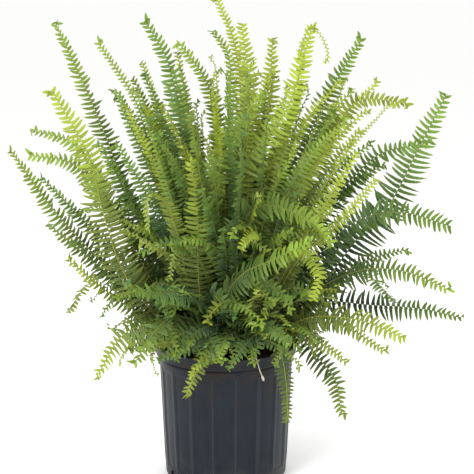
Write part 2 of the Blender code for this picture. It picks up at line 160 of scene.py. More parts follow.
# %% Camera
PLANT_MIDDLE = Vector((0.022, 0.0, 0.471))
CAMERA_AWAY = 2.5
CAMERA_PITCH = math.radians(11)
SENSOR_WIDTH, LENS = 36, 98.55  # mm
camera = bpy.data.objects.new("camera", bpy.data.cameras.new("camera"))
bpy.context.scene.collection.objects.link(camera)
camera.data.sensor_width = SENSOR_WIDTH
camera.data.lens = LENS
look_back = Vector((0, -math.cos(CAMERA_PITCH), math.sin(CAMERA_PITCH)))
camera.location = PLANT_MIDDLE + CAMERA_AWAY * look_back
camera.rotation_euler = (math.pi / 2 - CAMERA_PITCH, 0, 0)
bpy.context.scene.camera = camera
print("camera at", tuple(round(x, 3) for x in camera.location))

# %% [markdown]
# ## Light and floor
#
# Plain soft studio light: one large soft box high at the front left, a weaker one at the front
# right, one behind to lift the edges of the leaves, and a pale surround and floor.

# %% Studio
world = bpy.data.worlds.new("studio")
bpy.context.scene.world = world
world.use_nodes = True
set_inputs(world.node_tree.nodes["Background"], {"Color": "#FFFFFF", "Strength": 1.0})
bpy.context.scene.view_settings.view_transform = "Standard"

for name, place, size, power in (
    ("key_box", (-1.5, -2.2, 2.3), 1.1, 62),
    ("fill_box", (1.9, -1.9, 1.3), 1.4, 16),
    ("rim_box", (0.4, 2.0, 2.2), 1.4, 24),
):
    light = bpy.data.lights.new(name, "AREA")
    light.size = size
    light.energy = power
    lamp = bpy.data.objects.new(name, light)
    lamp.location = place
    lamp.rotation_euler = (PLANT_MIDDLE - Vector(place)).to_track_quat("-Z", "Y").to_euler()
    bpy.context.scene.collection.objects.link(lamp)

# Matt painted board: even and pale, so that only the soft shadow shows.
floor_paint, _, _ = new_material("matt_white_board", Base_Color="#FDFDFC", Roughness=0.9)
HALF_FLOOR = 90.0
corners = [(x * HALF_FLOOR, y * HALF_FLOOR, 0) for x, y in ((-1, -1), (1, -1), (1, 1), (-1, 1))]
floor = mesh_object("floor", corners, [(0, 1, 2, 3)], [floor_paint])

# %% [markdown]
# ## The pot's shape
#
# A nursery pot is moulded in polyethylene. Eighteen narrow ridges divide its wall into panels
# that are pressed in by a millimetre and have rounded ends. The mesh is an outline, from the
# middle of the base up the outside, over the rim and down the inside, turned round the axis. Its
# columns crowd together beside each ridge, so the relief is real shape. The drain holes are
# chamfered, and are cut from the finished wall.

# %% The pot
def turned_faces(rows, columns):
    """Quads between rings of points, and a fan to a pole before the first ring and after the last."""
    ring = np.arange(rows - 1)[:, None] * columns
    here = np.arange(columns)
    beside = (here + 1) % columns
    quads = np.stack((ring + here, ring + beside, ring + columns + beside, ring + columns + here), -1)
    last, pole = (rows - 1) * columns, rows * columns
    fans = [(b, a, pole) for a, b in zip(here.tolist(), beside.tolist())]
    fans += [(last + a, last + b, pole + 1) for a, b in zip(here.tolist(), beside.tolist())]
    return [*quads.reshape(-1, 4).tolist(), *fans]


def turned_points(radius, height, turns, foot_pole, top_pole):
    """Rings of points round the axis, from tables of radius and height, and the two poles."""
    rings = np.stack((radius * np.sin(turns), -radius * np.cos(turns), height + 0 * turns), -1)
    return np.concatenate((rings.reshape(-1, 3), ((0, 0, foot_pole), (0, 0, top_pole)))) * MM


FLUTES = 18
RIDGE_TURN = math.radians(9)
RIDGE_OUT, RIDGE_FLAT, RIDGE_HALF = 0.9, 0.6, 3.2  # mm
PANEL_IN, PANEL_BORDER, PANEL_CORNER, PANEL_EDGE = 1.1, 4.5, 9.0, 2.2  # mm
PANEL_LOW, PANEL_HIGH = 24, 222
RIDGE_FOOT, RIDGE_TOP = (8, 27), (220, 231)  # where the ridges rise from the wall and sink back
# Outlines are pairs of radius and height, in mm.
BASE = ((60, 0), (108, 0), (112, 0), (115.5, 0.3), (117.2, 1.2), (118.4, 2.7), (119, 4.5), (119.3, 12))
WALL_HEIGHTS = (4.5, 22, 30, 215, 224, 233)
WALL_RADII = (119, 119.6, 120.2, 128.4, 129.2, 130)
WALL_ROWS = (16, 19, *range(21, 28), 28.5, 30, 32, 34, 37, 42, *range(52, 200, 14), 202, 208, 212,
             214, 216, 217.5, *range(219, 225), 226, 229, 231)
RIM = ((130, 233), (130, 235.5), (129.6, 237.5), (128.7, 239), (127.7, 240), (127.4, 241), (127.8, 242.2),
       (129.4, 242.9), (133, 243.1), (135.6, 243.3), (136.5, 243.9), (136.9, 245), (137.1, 246.5),
       (137.7, 252), (138, 255.4), (138.4, 256.2), (138.8, 261), (139.3, 262), (139.5, 263.2),
       (139.3, 264.3), (138.6, 265), (137.2, 265.2), (136, 264.9), (135, 264.2), (134.2, 262.9),
       (133.8, 261.5), (133.3, 254), (132.5, 244))
POT_FLOOR = 4.4
INSIDE = ((131.7, 242), (129, 239), (126.6, 237), (126, 234), (123.6, 180), (120.3, 105), (117, 30),
          (116, 7), (115, 5.4), (113, 4.5), (60, POT_FLOOR))
wall = [(np.interp(z, WALL_HEIGHTS, WALL_RADII), z) for z in WALL_ROWS]
radius, height = np.array([*BASE, *wall, *RIM, *INSIDE], float).T[:, :, None]
half_flute = (0, 0.02, 0.04, 0.055, 0.07, 0.085, 0.1, 0.115, 0.13, 0.16, 0.2, 0.25, 0.32, 0.41, 0.5)
flute_share = np.array([*half_flute, *(1 - x for x in half_flute[-2:0:-1])])
turns = RIDGE_TURN + (np.arange(FLUTES)[:, None] + flute_share).ravel()[None] * 2 * math.pi / FLUTES
pitch = 2 * math.pi * radius / FLUTES
from_ridge = np.tile(np.minimum(flute_share, 1 - flute_share), FLUTES)[None] * pitch
# How far a place is outside its panel's rounded outline: less than nothing inside it.
wide = (pitch / 2 - from_ridge) - (pitch / 2 - PANEL_BORDER - PANEL_CORNER)
tall = abs(height - (PANEL_LOW + PANEL_HIGH) / 2) - ((PANEL_HIGH - PANEL_LOW) / 2 - PANEL_CORNER)
outside = np.hypot(np.maximum(wide, 0), np.maximum(tall, 0)) + np.minimum(np.maximum(wide, tall), 0)
outside = outside - PANEL_CORNER
ridge = (1 - smooth_step(RIDGE_FLAT, RIDGE_HALF, from_ridge)) * smooth_step(*RIDGE_FOOT, height)
ridge = ridge * (1 - smooth_step(*RIDGE_TOP, height))
relief = RIDGE_OUT * ridge - PANEL_IN * smooth_step(0, PANEL_EDGE, -outside)
rows = np.arange(len(radius))[:, None]
relief = relief * ((rows >= len(BASE)) & (rows < len(BASE) + len(wall)))
pot_points = turned_points(radius + relief, height, turns, 0, POT_FLOOR)


def around(turn):
    """Directions outwards and sideways at this turn round the axis, from the front."""
    return np.array((math.sin(turn), -math.cos(turn))), np.array((math.cos(turn), math.sin(turn)))


DRAIN_PLUG = ((108, 6), (118.3, 6), (119.4, 7), (124, 11.6))  # distance from the axis, radius
DRAIN_LEVEL = np.array((0, 0, 13 * MM))


def drain_cutter(turn, sides=32):
    """A plug that widens outwards, for one chamfered drain hole."""
    along, reach = (np.array(DRAIN_PLUG) * MM).T[:, :, None]
    round_it = np.linspace(0, 2 * math.pi, sides, endpoint=False)[None]
    outward, beside = (np.append(direction, 0) for direction in around(turn))
    rings = along[..., None] * outward + (reach * np.cos(round_it))[..., None] * beside
    rings = rings + (reach * np.sin(round_it))[..., None] * np.array((0, 0, 1.0)) + DRAIN_LEVEL
    poles = [outward * x + DRAIN_LEVEL for x in (along[0], along[-1])]
    return np.concatenate((rings.reshape(-1, 3), poles)), turned_faces(len(DRAIN_PLUG), sides)


DRAIN_HOLES, FIRST_DRAIN_HOLE = 5, math.radians(-60)
cutter_points, cutter_faces = [], []
for hole in range(DRAIN_HOLES):
    points, faces = drain_cutter(FIRST_DRAIN_HOLE + 2 * math.pi * hole / DRAIN_HOLES)
    cutter_faces += [tuple(k + hole * len(points) for k in face) for face in faces]
    cutter_points.append(points)
print("points of the pot's wall:", len(pot_points))

# %% [markdown]
# ## Plastic, bark and fibre
#
# Black polyethylene is a dielectric: it is dark below a soft sheen. Grain of under a millimetre
# and long marks from the mould break that sheen up, the ridges are rubbed a little paler, and
# dust dulls the wall low down. A painted reflection tints the wall brown in blotches near the
# rim. Bark is rough and nearly black where it is wet. The crown is brown fibre with papery scales.

# %% Finishes of the pot, the mix, the crown and the runner
# Black polyethylene: the eye reads it as plastic from the wide soft sheen and the mould's streaks.
pot_plastic, add, shader = new_material("moulded_black_polyethylene", IOR=1.51, Specular_IOR_Level=0.24)
place = add("TexCoord", output="Object")
height_up = add("SeparateXYZ", place, output="Z")
rubbed = add("Attribute", attribute_name="rubbed", output="Fac")
drawn = add("Mapping", place, named={"Scale": (1, 1, 0.03)})
cloud = add("TexNoise", named={"Vector": place, "Scale": 1 / (38 * MM), "Detail": 3.0})
painted_reflection_blots = add("TexNoise", named={"Vector": place, "Scale": 1 / (28 * MM), "Detail": 3.0})
grain = add("TexNoise", named={"Vector": place, "Scale": 1 / (0.9 * MM), "Detail": 2.0})
streaks = add("TexNoise", named={"Vector": drawn, "Scale": 1 / (3.5 * MM), "Detail": 4.0})
body = add("MixRGB", add("MapRange", cloud, 0.35, 0.65), "#0C131C", "#111A24")
body = add("MixRGB", add("MapRange", streaks, 0.45, 0.75, 0, 0.5), body, "#17232C")
worn = add("MapRange", grain, 0.3, 0.6, 0.04, 0.2)
body = add("MixRGB", add("Math", rubbed, worn, operation="MULTIPLY"), body, "#4A545C")
low, patches = add("MapRange", height_up, 0.0, 0.07, 0.5, 0.0), add("MapRange", cloud, 0.4, 0.7)
body = add("MixRGB", add("Math", low, patches, operation="MULTIPLY"), body, "#4A443B")
# Painted reflection: a brown tint in blotches on the upper wall, towards the rim.
high, patches = add("MapRange", height_up, 0.15, 0.235, 0.0, 0.85), add("MapRange", painted_reflection_blots, 0.42, 0.6)
body = add("MixRGB", add("Math", high, patches, operation="MULTIPLY"), body, "#231B18")
fine = add("Bump", named={"Height": grain, "Distance": 0.05 * MM, "Strength": 0.35})
coarse = {"Height": streaks, "Distance": 0.12 * MM, "Strength": 0.35, "Normal": fine}
sheen = add("MapRange", streaks, 0.3, 0.7, 0.34, 0.52)
set_inputs(shader, {"Base Color": body, "Roughness": sheen, "Normal": add("Bump", named=coarse)})

# Pine bark: dark wet faces, paler corky ones, and a fibrous grain. Crown fibre: rusty scales over
# nearly black old leaf bases. Both are rough everywhere, which makes them look dry and loose.
rough_skins = []
for name, stretch, size, dark, brown, pale, shares, kinds, roughness, depth in (
    ("composted_pine_bark", (1, 0.25, 1), 1.6, "#120B08", "#33221A", "#5A4030",
     (0.35, 0.7), (0.4, 0.6), (0.72, 0.96), 0.6),
    ("fibrous_fern_crown", (1, 1, 0.2), 1.1, "#140C07", "#3A2717", "#7A4E26",
     (0.35, 0.65), (0.3, 0.6), (0.6, 0.9), 0.5),
):
    made, add, shader = new_material(name, IOR=1.4)
    drawn = add("Mapping", add("TexCoord", output="Object"), named={"Scale": stretch})
    fibre = add("TexNoise", named={"Vector": drawn, "Scale": 1 / (size * MM), "Detail": 5.0})
    kind = add("Attribute", attribute_name="tone", output="Fac")
    body = add("MixRGB", add("MapRange", fibre, *shares), dark, brown)
    kind = add("Math", kind, add("MapRange", fibre, *kinds), operation="MULTIPLY")
    roughness = add("MapRange", fibre, 0.3, 0.7, *roughness)
    relief = add("Bump", named={"Height": fibre, "Distance": depth * MM, "Strength": 0.6})
    body = add("MixRGB", kind, body, pale)
    set_inputs(shader, {"Base Color": body, "Roughness": roughness, "Normal": relief})
    rough_skins.append(made)
bark_skin, crown_skin = rough_skins

# Perlite: white, foamy volcanic glass, which shows that the mix is a bought one. Runner: a pale,
# slightly see-through skin with fine lengthwise lines.
pale_skins = []
for name, stretch, size, detail, shares, dark, pale, depth, values in (
    ("expanded_perlite", (1, 1, 1), 0.7, 4.0, (0.3, 0.7), "#A8A398", "#DEDAD0", 0.4,
     {"IOR": 1.5, "Roughness": 0.85}),
    ("pale_runner_skin", (1, 1, 0.1), 0.5, 3.0, (0.35, 0.65), "#9A9078", "#CFC8B4", 0.15,
     {"IOR": 1.42, "Roughness": 0.5, "Subsurface_Weight": 0.2, "Subsurface_Scale": 1.2 * MM}),
):
    made, add, shader = new_material(name, **values)
    drawn = add("Mapping", add("TexCoord", output="Object"), named={"Scale": stretch})
    lines = add("TexNoise", named={"Vector": drawn, "Scale": 1 / (size * MM), "Detail": detail})
    body = add("MixRGB", add("MapRange", lines, *shares), dark, pale)
    relief = add("Bump", named={"Height": lines, "Distance": depth * MM, "Strength": 0.6})
    set_inputs(shader, {"Base Color": body, "Normal": relief})
    pale_skins.append(made)
perlite_skin, runner_skin = pale_skins
print("finishes so far:", len(bpy.data.materials))

# %% The pot cut and finished
pot_faces = turned_faces(len(radius), turns.shape[1])
pot = mesh_object("nursery_pot", pot_points, pot_faces, [pot_plastic])
set_attribute(pot.data, "rubbed", "FLOAT", "POINT", np.append((ridge + 0 * turns).ravel(), (0, 0)))
cutter = mesh_object("drain_cutter", np.concatenate(cutter_points), cutter_faces, [pot_plastic])
cut = pot.modifiers.new("drain_holes", "BOOLEAN")
cut.operation = "DIFFERENCE"
cut.solver = "EXACT"
cut.object = cutter
with bpy.context.temp_override(object=pot, active_object=pot):
    bpy.ops.object.modifier_apply(modifier=cut.name)
bpy.data.objects.remove(cutter)
pot.data.set_sharp_from_angle(angle=math.radians(38))
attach(pot, "root")
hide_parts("pot")
print("faces of the pot:", len(pot.data.polygons))

# %% [markdown]
# ## Bark mix and crown
#
# The mix is a mound under a layer of loose pieces. Chips, grains, old stalk stubs and scales are
# all made in the same way: a lump of 26 points is stretched, roughened, turned and put in place,
# for a whole table of them at once.

# %% Many lumps from tables of sizes, turns and places
def lump_template():
    """Points and faces of a cube with three points along each edge, pushed out to be rounder."""
    grid = [(x, y, z) for x in (-1, 0, 1) for y in (-1, 0, 1) for z in (-1, 0, 1)]
    grid.remove((0, 0, 0))
    number = {point: i for i, point in enumerate(grid)}
    faces = []
    for axis in range(3):
        for side in (-1, 1):
            for a in (-1, 0):
                for b in (-1, 0):
                    square = [(a, b), (a + 1, b), (a + 1, b + 1), (a, b + 1)]
                    corners = [(*p[:axis], side, *p[axis:]) for p in square]
                    face = [number[corner] for corner in corners]
                    turned = (side > 0) != (axis == 1)
                    faces.append(face if turned else face[::-1])
    points = np.array(grid, float)
    return points / np.linalg.norm(points, axis=1, keepdims=True) ** 0.65, faces


LUMP, LUMP_FACES = lump_template()


def lumps(rng, places, sizes, headings, rough):
    """Points and faces of many lumps: long axis along the headings, sizes in all three directions."""
    count = len(places)
    headings = unit(headings)
    side = unit(np.cross(headings, unit(rng.normal(0, 1, (count, 3)) + np.array((0, 0, 3.0)))))
    top = np.cross(headings, side)
    shape = LUMP[None] * (1 + rng.normal(0, rough, (count, len(LUMP), 1)))
    shape = shape * sizes[:, None] / 2
    axes = np.stack((headings, side, top), 1)
    turned = sum(shape[..., k : k + 1] * axes[:, None, k] for k in range(3))
    faces = [tuple(k + i * len(LUMP) for k in face) for i in range(count) for face in LUMP_FACES]
    return (turned + places[:, None]).reshape(-1, 3), faces


def joined(name, parts, materials):
    """One object from several tables: points, faces, finish and tone."""
    points, faces, slots, tones, start = [], [], [], [], 0
    for part_points, part_faces, slot, tone in parts:
        points.append(part_points)
        faces += [tuple(k + start for k in face) for face in part_faces]
        slots += [slot] * len(part_faces)
        tones.append(np.broadcast_to(tone, len(part_points)))
        start += len(part_points)
    made = mesh_object(name, np.concatenate(points), faces, materials, slots)
    set_attribute(made.data, "tone", "FLOAT", "POINT", np.concatenate(tones))
    made.data.set_sharp_from_angle(angle=math.radians(50))
    return made


def scattered(rng, count, inner, outer):
    """Places spread evenly over a ring, in metres."""
    reach = np.sqrt(rng.uniform(inner**2, outer**2, count)) * MM
    turn = rng.uniform(0, 2 * math.pi, count)
    return reach * np.sin(turn), -reach * np.cos(turn)


# %% The potting mix
rng = np.random.default_rng(5)
MIX_ROWS = ((80, 5), (112.6, 5), (115.4, 7.4), (118.5, 70), (122, 150), (125.2, 230), (124.6, 233),
            (122, 235.6), (116, 237), (108, 237.8), (100, 238), (90, 237.6), (60, 237), (30, 237))
MIX_COLUMNS, MIX_LOOSE, MIX_TOP = 150, 233, 237.6  # the mix is loose above this level, mm
CHIPS, GRAINS = 560, 80
CHIP_SIZES = ((8, 19), (4, 9), (1.8, 4.2))  # mm: long, broad, thick
radius, height = np.array(MIX_ROWS, float).T[:, :, None]
turns = np.linspace(0, 2 * math.pi, MIX_COLUMNS, endpoint=False)[None]
uneven = 0.8 * np.sin(9 * turns + radius / 7) + rng.normal(0, 0.35, (len(radius), MIX_COLUMNS))
mound = turned_points(radius + 0 * turns, height + uneven * (height > MIX_LOOSE), turns, 5, 237)
parts = [(mound, turned_faces(len(MIX_ROWS), MIX_COLUMNS), 0, 0.1)]
x, y = scattered(rng, CHIPS, 78, 121)
sizes = np.stack([rng.uniform(low, high, CHIPS) for low, high in CHIP_SIZES], 1) * MM
level = (MIX_TOP + rng.uniform(-0.6, 2.2, CHIPS)) * MM
headings = np.stack([rng.normal(0, spread, CHIPS) for spread in (1, 1, 0.22)], 1)  # most lie flat
chip_points, chip_faces = lumps(rng, np.stack((x, y, level), 1), sizes, headings, 0.09)
parts.append((chip_points, chip_faces, 0, np.repeat(rng.uniform(0, 1, CHIPS) ** 2, len(LUMP))))
x, y = scattered(rng, GRAINS, 84, 121)
sizes = rng.uniform(1.8, 4.2, (GRAINS, 1)) * rng.uniform(0.7, 1, (GRAINS, 3)) * MM
level = (MIX_TOP + 1.2 + rng.uniform(0, 1.6, GRAINS)) * MM
headings = rng.normal(0, 1, (GRAINS, 3))
grain_points, grain_faces = lumps(rng, np.stack((x, y, level), 1), sizes, headings, 0.14)
parts.append((grain_points, grain_faces, 1, 0.0))
mix = joined("bark_mix_surface", parts, [bark_skin, perlite_skin])
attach(mix, "root")
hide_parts("potting_mix")
print("chips and grains:", CHIPS, GRAINS)

# %% The crown
CROWN_RADIUS, CROWN_LOW, CROWN_EDGE, CROWN_HEIGHT = 90, MIX_TOP, 5, 27  # mm
CROWN_ROWS, CROWN_COLUMNS = 26, 96
climb = np.linspace(0, 1, CROWN_ROWS)[:, None] * 0.98
turns = np.linspace(0, 2 * math.pi, CROWN_COLUMNS, endpoint=False)[None]
radius = CROWN_RADIUS * np.cos(climb * math.pi / 2) + 0 * turns
knobs = 1.5 * np.sin(11 * turns + 3 * climb) * np.sin(26 * climb) + rng.normal(0, 0.5, radius.shape)
CROWN_BASE, CROWN_DOME = CROWN_LOW + CROWN_EDGE, CROWN_HEIGHT - CROWN_EDGE
height = CROWN_BASE + CROWN_DOME * np.sin(climb * math.pi / 2) + knobs
radius, height = np.concatenate((radius[:1], radius)), np.concatenate((height[:1] * 0 + CROWN_LOW, height))
dome = turned_points(radius, height, turns, CROWN_LOW, CROWN_LOW + CROWN_HEIGHT)
parts = [(dome, turned_faces(CROWN_ROWS + 1, CROWN_COLUMNS), 0, 0.15)]
STUBS, SCALES = 130, 700
for count, inner, outer, long, thick, flat, rise, tone in (
    (STUBS, 8, 84, (12, 26), (4.5, 7.5), 0.9, 1.6, 0.25),
    (SCALES, 4, 88, (6, 13), (1.2, 2.6), 0.25, 0.9, 1.0),
):
    x, y = scattered(rng, count, inner, outer)
    share = np.hypot(x, y) / (CROWN_RADIUS * MM)
    dome_top = (CROWN_BASE + CROWN_DOME * np.sqrt(np.maximum(0, 1 - share**2))) * MM
    length, breadth = rng.uniform(*long, count) * MM, rng.uniform(*thick, count) * MM
    sizes = np.stack((length, breadth, breadth * flat), 1)
    outward = np.stack((x, y), 1) / np.hypot(x, y)[:, None] * share[:, None]
    outward = outward + rng.normal(0, 0.3, (count, 2))
    headings = unit(np.concatenate((outward, np.full((count, 1), rise)), 1))
    places = np.stack((x, y, dome_top + length * 0.15), 1) + headings * length[:, None] * 0.1
    lump_points, lump_faces = lumps(rng, places, sizes, headings, 0.07)
    parts.append((lump_points, lump_faces, 0, np.repeat(tone * rng.uniform(0.3, 1, count), len(LUMP))))
crown = joined("scaly_crown", parts, [crown_skin])
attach(crown, "root")
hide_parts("crown")
print("old stalks and scales:", STUBS, SCALES)

# %% [markdown]
# ## The leaf finish
#
# A fern leaflet is a thin waxy blade. Light both glances off its cuticle and soaks through it, so
# the finish is a dielectric with a soft gloss and some light carried below the surface. A young
# frond is yellow green, and an old one is a deep blue green. On each, the leaflets get paler
# towards the frond's tip, the margin is lighter than the middle, a pale vein runs along the
# middle with slanting side veins, and the underside is paler and duller than the top.

# %% Leaf and stalk materials
LEAF_IOR = 1.42  # plant cuticle
VEIN_WIDTH = 0.45  # half width of the midvein, mm
VEIN_PITCH = 2.4  # side veins are about 1.2 mm apart, and are drawn at twice that so that they show
PAINTED_SUN_LOW, PAINTED_SUN_HIGH = 0.38, 0.88  # painted sunlight: leaves higher up are painted yellower, between these heights in metres
SHADE_HEIGHT, SHADE_INNER, SHADE_OUTER = 0.36, 0.05, 0.3  # painted shade, darker near the middle of the plant


def leaf_material(name, heart, body, tip, under, vein, gloss):
    """A waxy leaf: colours for the inner part, the body and the tip of a frond."""
    made, add, shader = new_material(
        name,
        IOR=LEAF_IOR,
        Specular_IOR_Level=0.3,
        Subsurface_Weight=0.12,
        Subsurface_Scale=1.8 * MM,
        Subsurface_Radius=(0.9, 1.0, 0.3),
    )
    leaf = add("Attribute", attribute_name="leaf", output="Vector")
    along, across, margin = add("SeparateXYZ", leaf, output=slice(3))
    tone = add("Attribute", attribute_name="tone", output="Fac")
    side = add("Attribute", attribute_name="underside", output="Fac")
    lengthwise, sideways, _ = add("SeparateXYZ", add("UVMap", uv_map="blade"), output=slice(3))
    place = add("TexCoord", output="Object")
    mottle = add("TexNoise", named={"Vector": place, "Scale": 1 / (18 * MM), "Detail": 3.0})

    # Darker towards each frond's foot: partly its age, partly painted shade inside the plant.
    colour = add("MixRGB", add("MapRange", along, 0.2, 0.7), heart, body)
    # Painted sunlight: leaves higher up are painted yellower.
    painted_sunlight = add("MapRange", add("SeparateXYZ", place, output="Z"), PAINTED_SUN_LOW, PAINTED_SUN_HIGH, 0.0, 0.4)
    for share in (add("MapRange", along, 0.5, 0.95), add("MapRange", across, 0.25, 1.0, 0.0, 0.3), painted_sunlight):
        colour = add("MixRGB", share, colour, tip)

    # Every leaflet has a tone of its own, and painted shade darkens the inside of the plant.
    shade = add("Math", tone, add("MapRange", mottle, 0, 1, -0.25, 0.25), operation="ADD")
    # Painted shade: the nearer a leaf is to the middle of the plant, the darker it is painted.
    inwards = add("VectorMath", place, (0, 0, SHADE_HEIGHT), operation="DISTANCE", output="Value")
    inwards = add("MapRange", inwards, SHADE_INNER, SHADE_OUTER, 0.4, 0.69)
    level = add("Math", add("MapRange", shade, -1.0, 1.0, 0.26, 1.44), inwards, operation="MULTIPLY")
    colour = add("HueSaturation", named={"Value": level, "Color": colour})
    colour = add("MixRGB", add("MapRange", margin, 0.6, 1.0, 0.0, 0.35), colour, tip)

    # The midvein and slanting side veins, then the duller underside.
    off = add("Math", sideways, operation="ABSOLUTE")
    midvein = add("MapRange", off, 0.0, VEIN_WIDTH, 0.7, 0.0)
    slant = add("Math", off, -0.7, lengthwise, operation="MULTIPLY_ADD")
    turns = add("Math", slant, 2 * math.pi / VEIN_PITCH, operation="MULTIPLY")
    ribs = add("Math", turns, operation="SINE")
    colour = add("MixRGB", midvein, colour, vein)
    colour = add("MixRGB", add("MapRange", ribs, 0.3, 1.0, 0.0, 0.16), colour, vein)
    colour = add("MixRGB", add("Math", side, 0.45, operation="MULTIPLY"), colour, under)
    dull, uneven = add("MapRange", side, 0, 1, gloss, gloss + 0.2), add("MapRange", mottle, 0, 1, -0.08, 0.08)
    rough = add("Math", dull, uneven, operation="ADD")
    relief = add("Math", ribs, midvein, operation="SUBTRACT")
    relief = add("Bump", named={"Height": relief, "Distance": 0.12 * MM, "Strength": 0.35})
    set_inputs(shader, {"Base Color": colour, "Roughness": rough, "Normal": relief})
    return made


def stalk_material(name, foot, body, tip):
    """A wiry frond stalk: brown and scaly at the foot, olive and smooth above."""
    made, add, shader = new_material(name, Roughness=0.5, IOR=LEAF_IOR)
    leaf = add("Attribute", attribute_name="leaf", output="Vector")
    along = add("SeparateXYZ", leaf, output="X")
    place = add("TexCoord", output="Object")
    flecks = add("TexNoise", named={"Vector": place, "Scale": 1 / (1.1 * MM), "Detail": 2.0})
    colour = add("MixRGB", add("MapRange", along, 0.0, 0.3), foot, body)
    colour = add("MixRGB", add("MapRange", along, 0.4, 0.95), colour, tip)
    colour = add("MixRGB", add("MapRange", flecks, 0.55, 0.7, 0.0, 0.6), colour, foot)
    relief = add("Bump", named={"Height": flecks, "Distance": 0.2 * MM, "Strength": 0.5})
    set_inputs(shader, {"Base Color": colour, "Normal": relief})
    return made


LEAVES = {
    "leaf_young": (
        leaf_material("young_waxy_leaf", "#284C2E", "#5E8430", "#B0C430", "#8C9C58", "#B2B866", 0.42),
        stalk_material("young_stalk", "#4A3820", "#84802E", "#98A234"),
    ),
    "leaf_mature": (
        leaf_material("mature_waxy_leaf", "#0E2C2E", "#2E5C34", "#98B836", "#5E7E4C", "#869858", 0.4),
        stalk_material("mature_stalk", "#382A18", "#6A682C", "#88903A"),
    ),
    "leaf_deep": (
        leaf_material("deep_waxy_leaf", "#081F2C", "#143C3A", "#84AA3A", "#38604A", "#54764C", 0.36),
        stalk_material("deep_stalk", "#261C12", "#464A26", "#707C34"),
    ),
}
print("leaf finishes:", sorted(LEAVES))

# %% [markdown]
# ## Reading a frond's line from the frame
#
# Each frond in the frame is a simple toothed blade: a point at its foot, rings of four corners
# up to its tip, and a point there. Walking over the mesh from the foot gives the rings in order.
# In a ring, the two corners that don't touch each other are opposite: one pair spans the width,
# and the other lies above and below the midrib.

# %% From a toothed blade to a midrib with a width and an upper side
CROWN_CENTRE = np.array((0, 0, 0.15))  # of all corners, a frond's foot is the nearest to this place
SAME_PLACE = 0.005 * MM
NARROWEST = 3 * MM  # rings narrower than this, half across, are the stalk or the last tip


def rings_of(mesh):
    """The rings of corners of a blade in order from its foot, with each corner's neighbours."""
    edit = bmesh.new()
    edit.from_mesh(mesh)
    bmesh.ops.remove_doubles(edit, verts=edit.verts, dist=SAME_PLACE)
    edit.verts.index_update()
    keys = np.array([vertex.co for vertex in edit.verts])
    near = [{edge.other_vert(vertex).index for edge in vertex.link_edges} for vertex in edit.verts]
    edit.free()
    foot = int(np.argmin(np.linalg.norm(keys - CROWN_CENTRE, axis=1)))
    layers, seen = [[foot]], {foot}
    while True:
        layer = sorted({b for a in layers[-1] for b in near[a]} - seen)
        if not layer:
            break
        seen.update(layer)
        layers.append(layer)
    return keys, near, layers


def frond_line(name):
    """Places along the midrib, the upper side's direction there, and half widths with their places."""
    keys, near, layers = rings_of(frame["nodes"][name].data)
    rings = [layer for layer in layers[1:] if len(layer) == 4]
    centres, pairs = [keys[layers[0][0]]], []
    for ring in rings:
        a = ring[0]
        opposite = next(b for b in ring[1:] if b not in near[a])
        others = [b for b in ring[1:] if b != opposite]
        first, second = keys[[a, opposite]], keys[others]
        if np.linalg.norm(first[0] - first[1]) < np.linalg.norm(second[0] - second[1]):
            first, second = second, first
        pairs.append((first, second))
        centres.append(second.mean(0))
    centres.append(keys[layers[-1][0]])
    centres = np.array(centres)
    ups, halves, at = [], [], []
    for i, (wide, thin) in enumerate(pairs):
        reach = np.linalg.norm(wide[0] - wide[1]) / 2
        between_teeth = i > 2 and i % 2
        if reach < NARROWEST or between_teeth:
            continue
        way = centres[i + 2] - centres[i]
        way /= np.linalg.norm(way)
        lean = wide.mean(0) - thin.mean(0)
        up = -(lean - way * (lean @ way))
        ups.append(up / np.linalg.norm(up))
        halves.append(reach)
        at.append(i + 1)
    return centres, np.array(ups), np.array(halves), np.array(at)


sample = frond_line(frond_nodes[0])
print(frond_nodes[0], len(sample[0]), "places, widest half", round(sample[2].max(), 3))

# %% [markdown]
# ## Growing a frond
#
# A midrib is given by a few places, so a smooth curve is run through them first. Leaflets stand
# along it in two rows, a little under a centimetre apart, left and right in turn. Each one is a
# thin closed blade: a row of four-cornered sections, pointed at the end, with a small lobe at its
# base on the side of the frond's tip and a finely toothed margin. Near the frond's tip leaflets
# get short and lean forwards, until they are only lobes.

# %% A smooth line and a frame of directions along it
def curve_through(places, at):
    """Points of a smooth curve through the places, at these distances along it."""
    steps = np.linalg.norm(np.diff(places, axis=0), axis=1)
    knots = np.concatenate(([0.0], np.cumsum(steps)))
    slopes = np.diff(places, axis=0) / steps[:, None]
    tangents = np.empty_like(places)
    weight = steps[:-1, None]
    other = steps[1:, None]
    tangents[1:-1] = (slopes[:-1] * other + slopes[1:] * weight) / (weight + other)
    tangents[0] = 2 * slopes[0] - tangents[1]
    tangents[-1] = 2 * slopes[-1] - tangents[-2]
    i = np.clip(np.searchsorted(knots, at, side="right") - 1, 0, len(steps) - 1)
    span = steps[i][:, None]
    t = ((at - knots[i]) / steps[i])[:, None]
    return (
        places[i] * (1 + 2 * t) * (1 - t) ** 2
        + tangents[i] * span * t * (1 - t) ** 2
        + places[i + 1] * t * t * (3 - 2 * t)
        + tangents[i + 1] * span * t * t * (t - 1)
    )


def interpolate(at, knots, rows):
    """Rows of numbers in between those that are known at the knots."""
    return np.stack([np.interp(at, knots, column) for column in rows.T], 1)


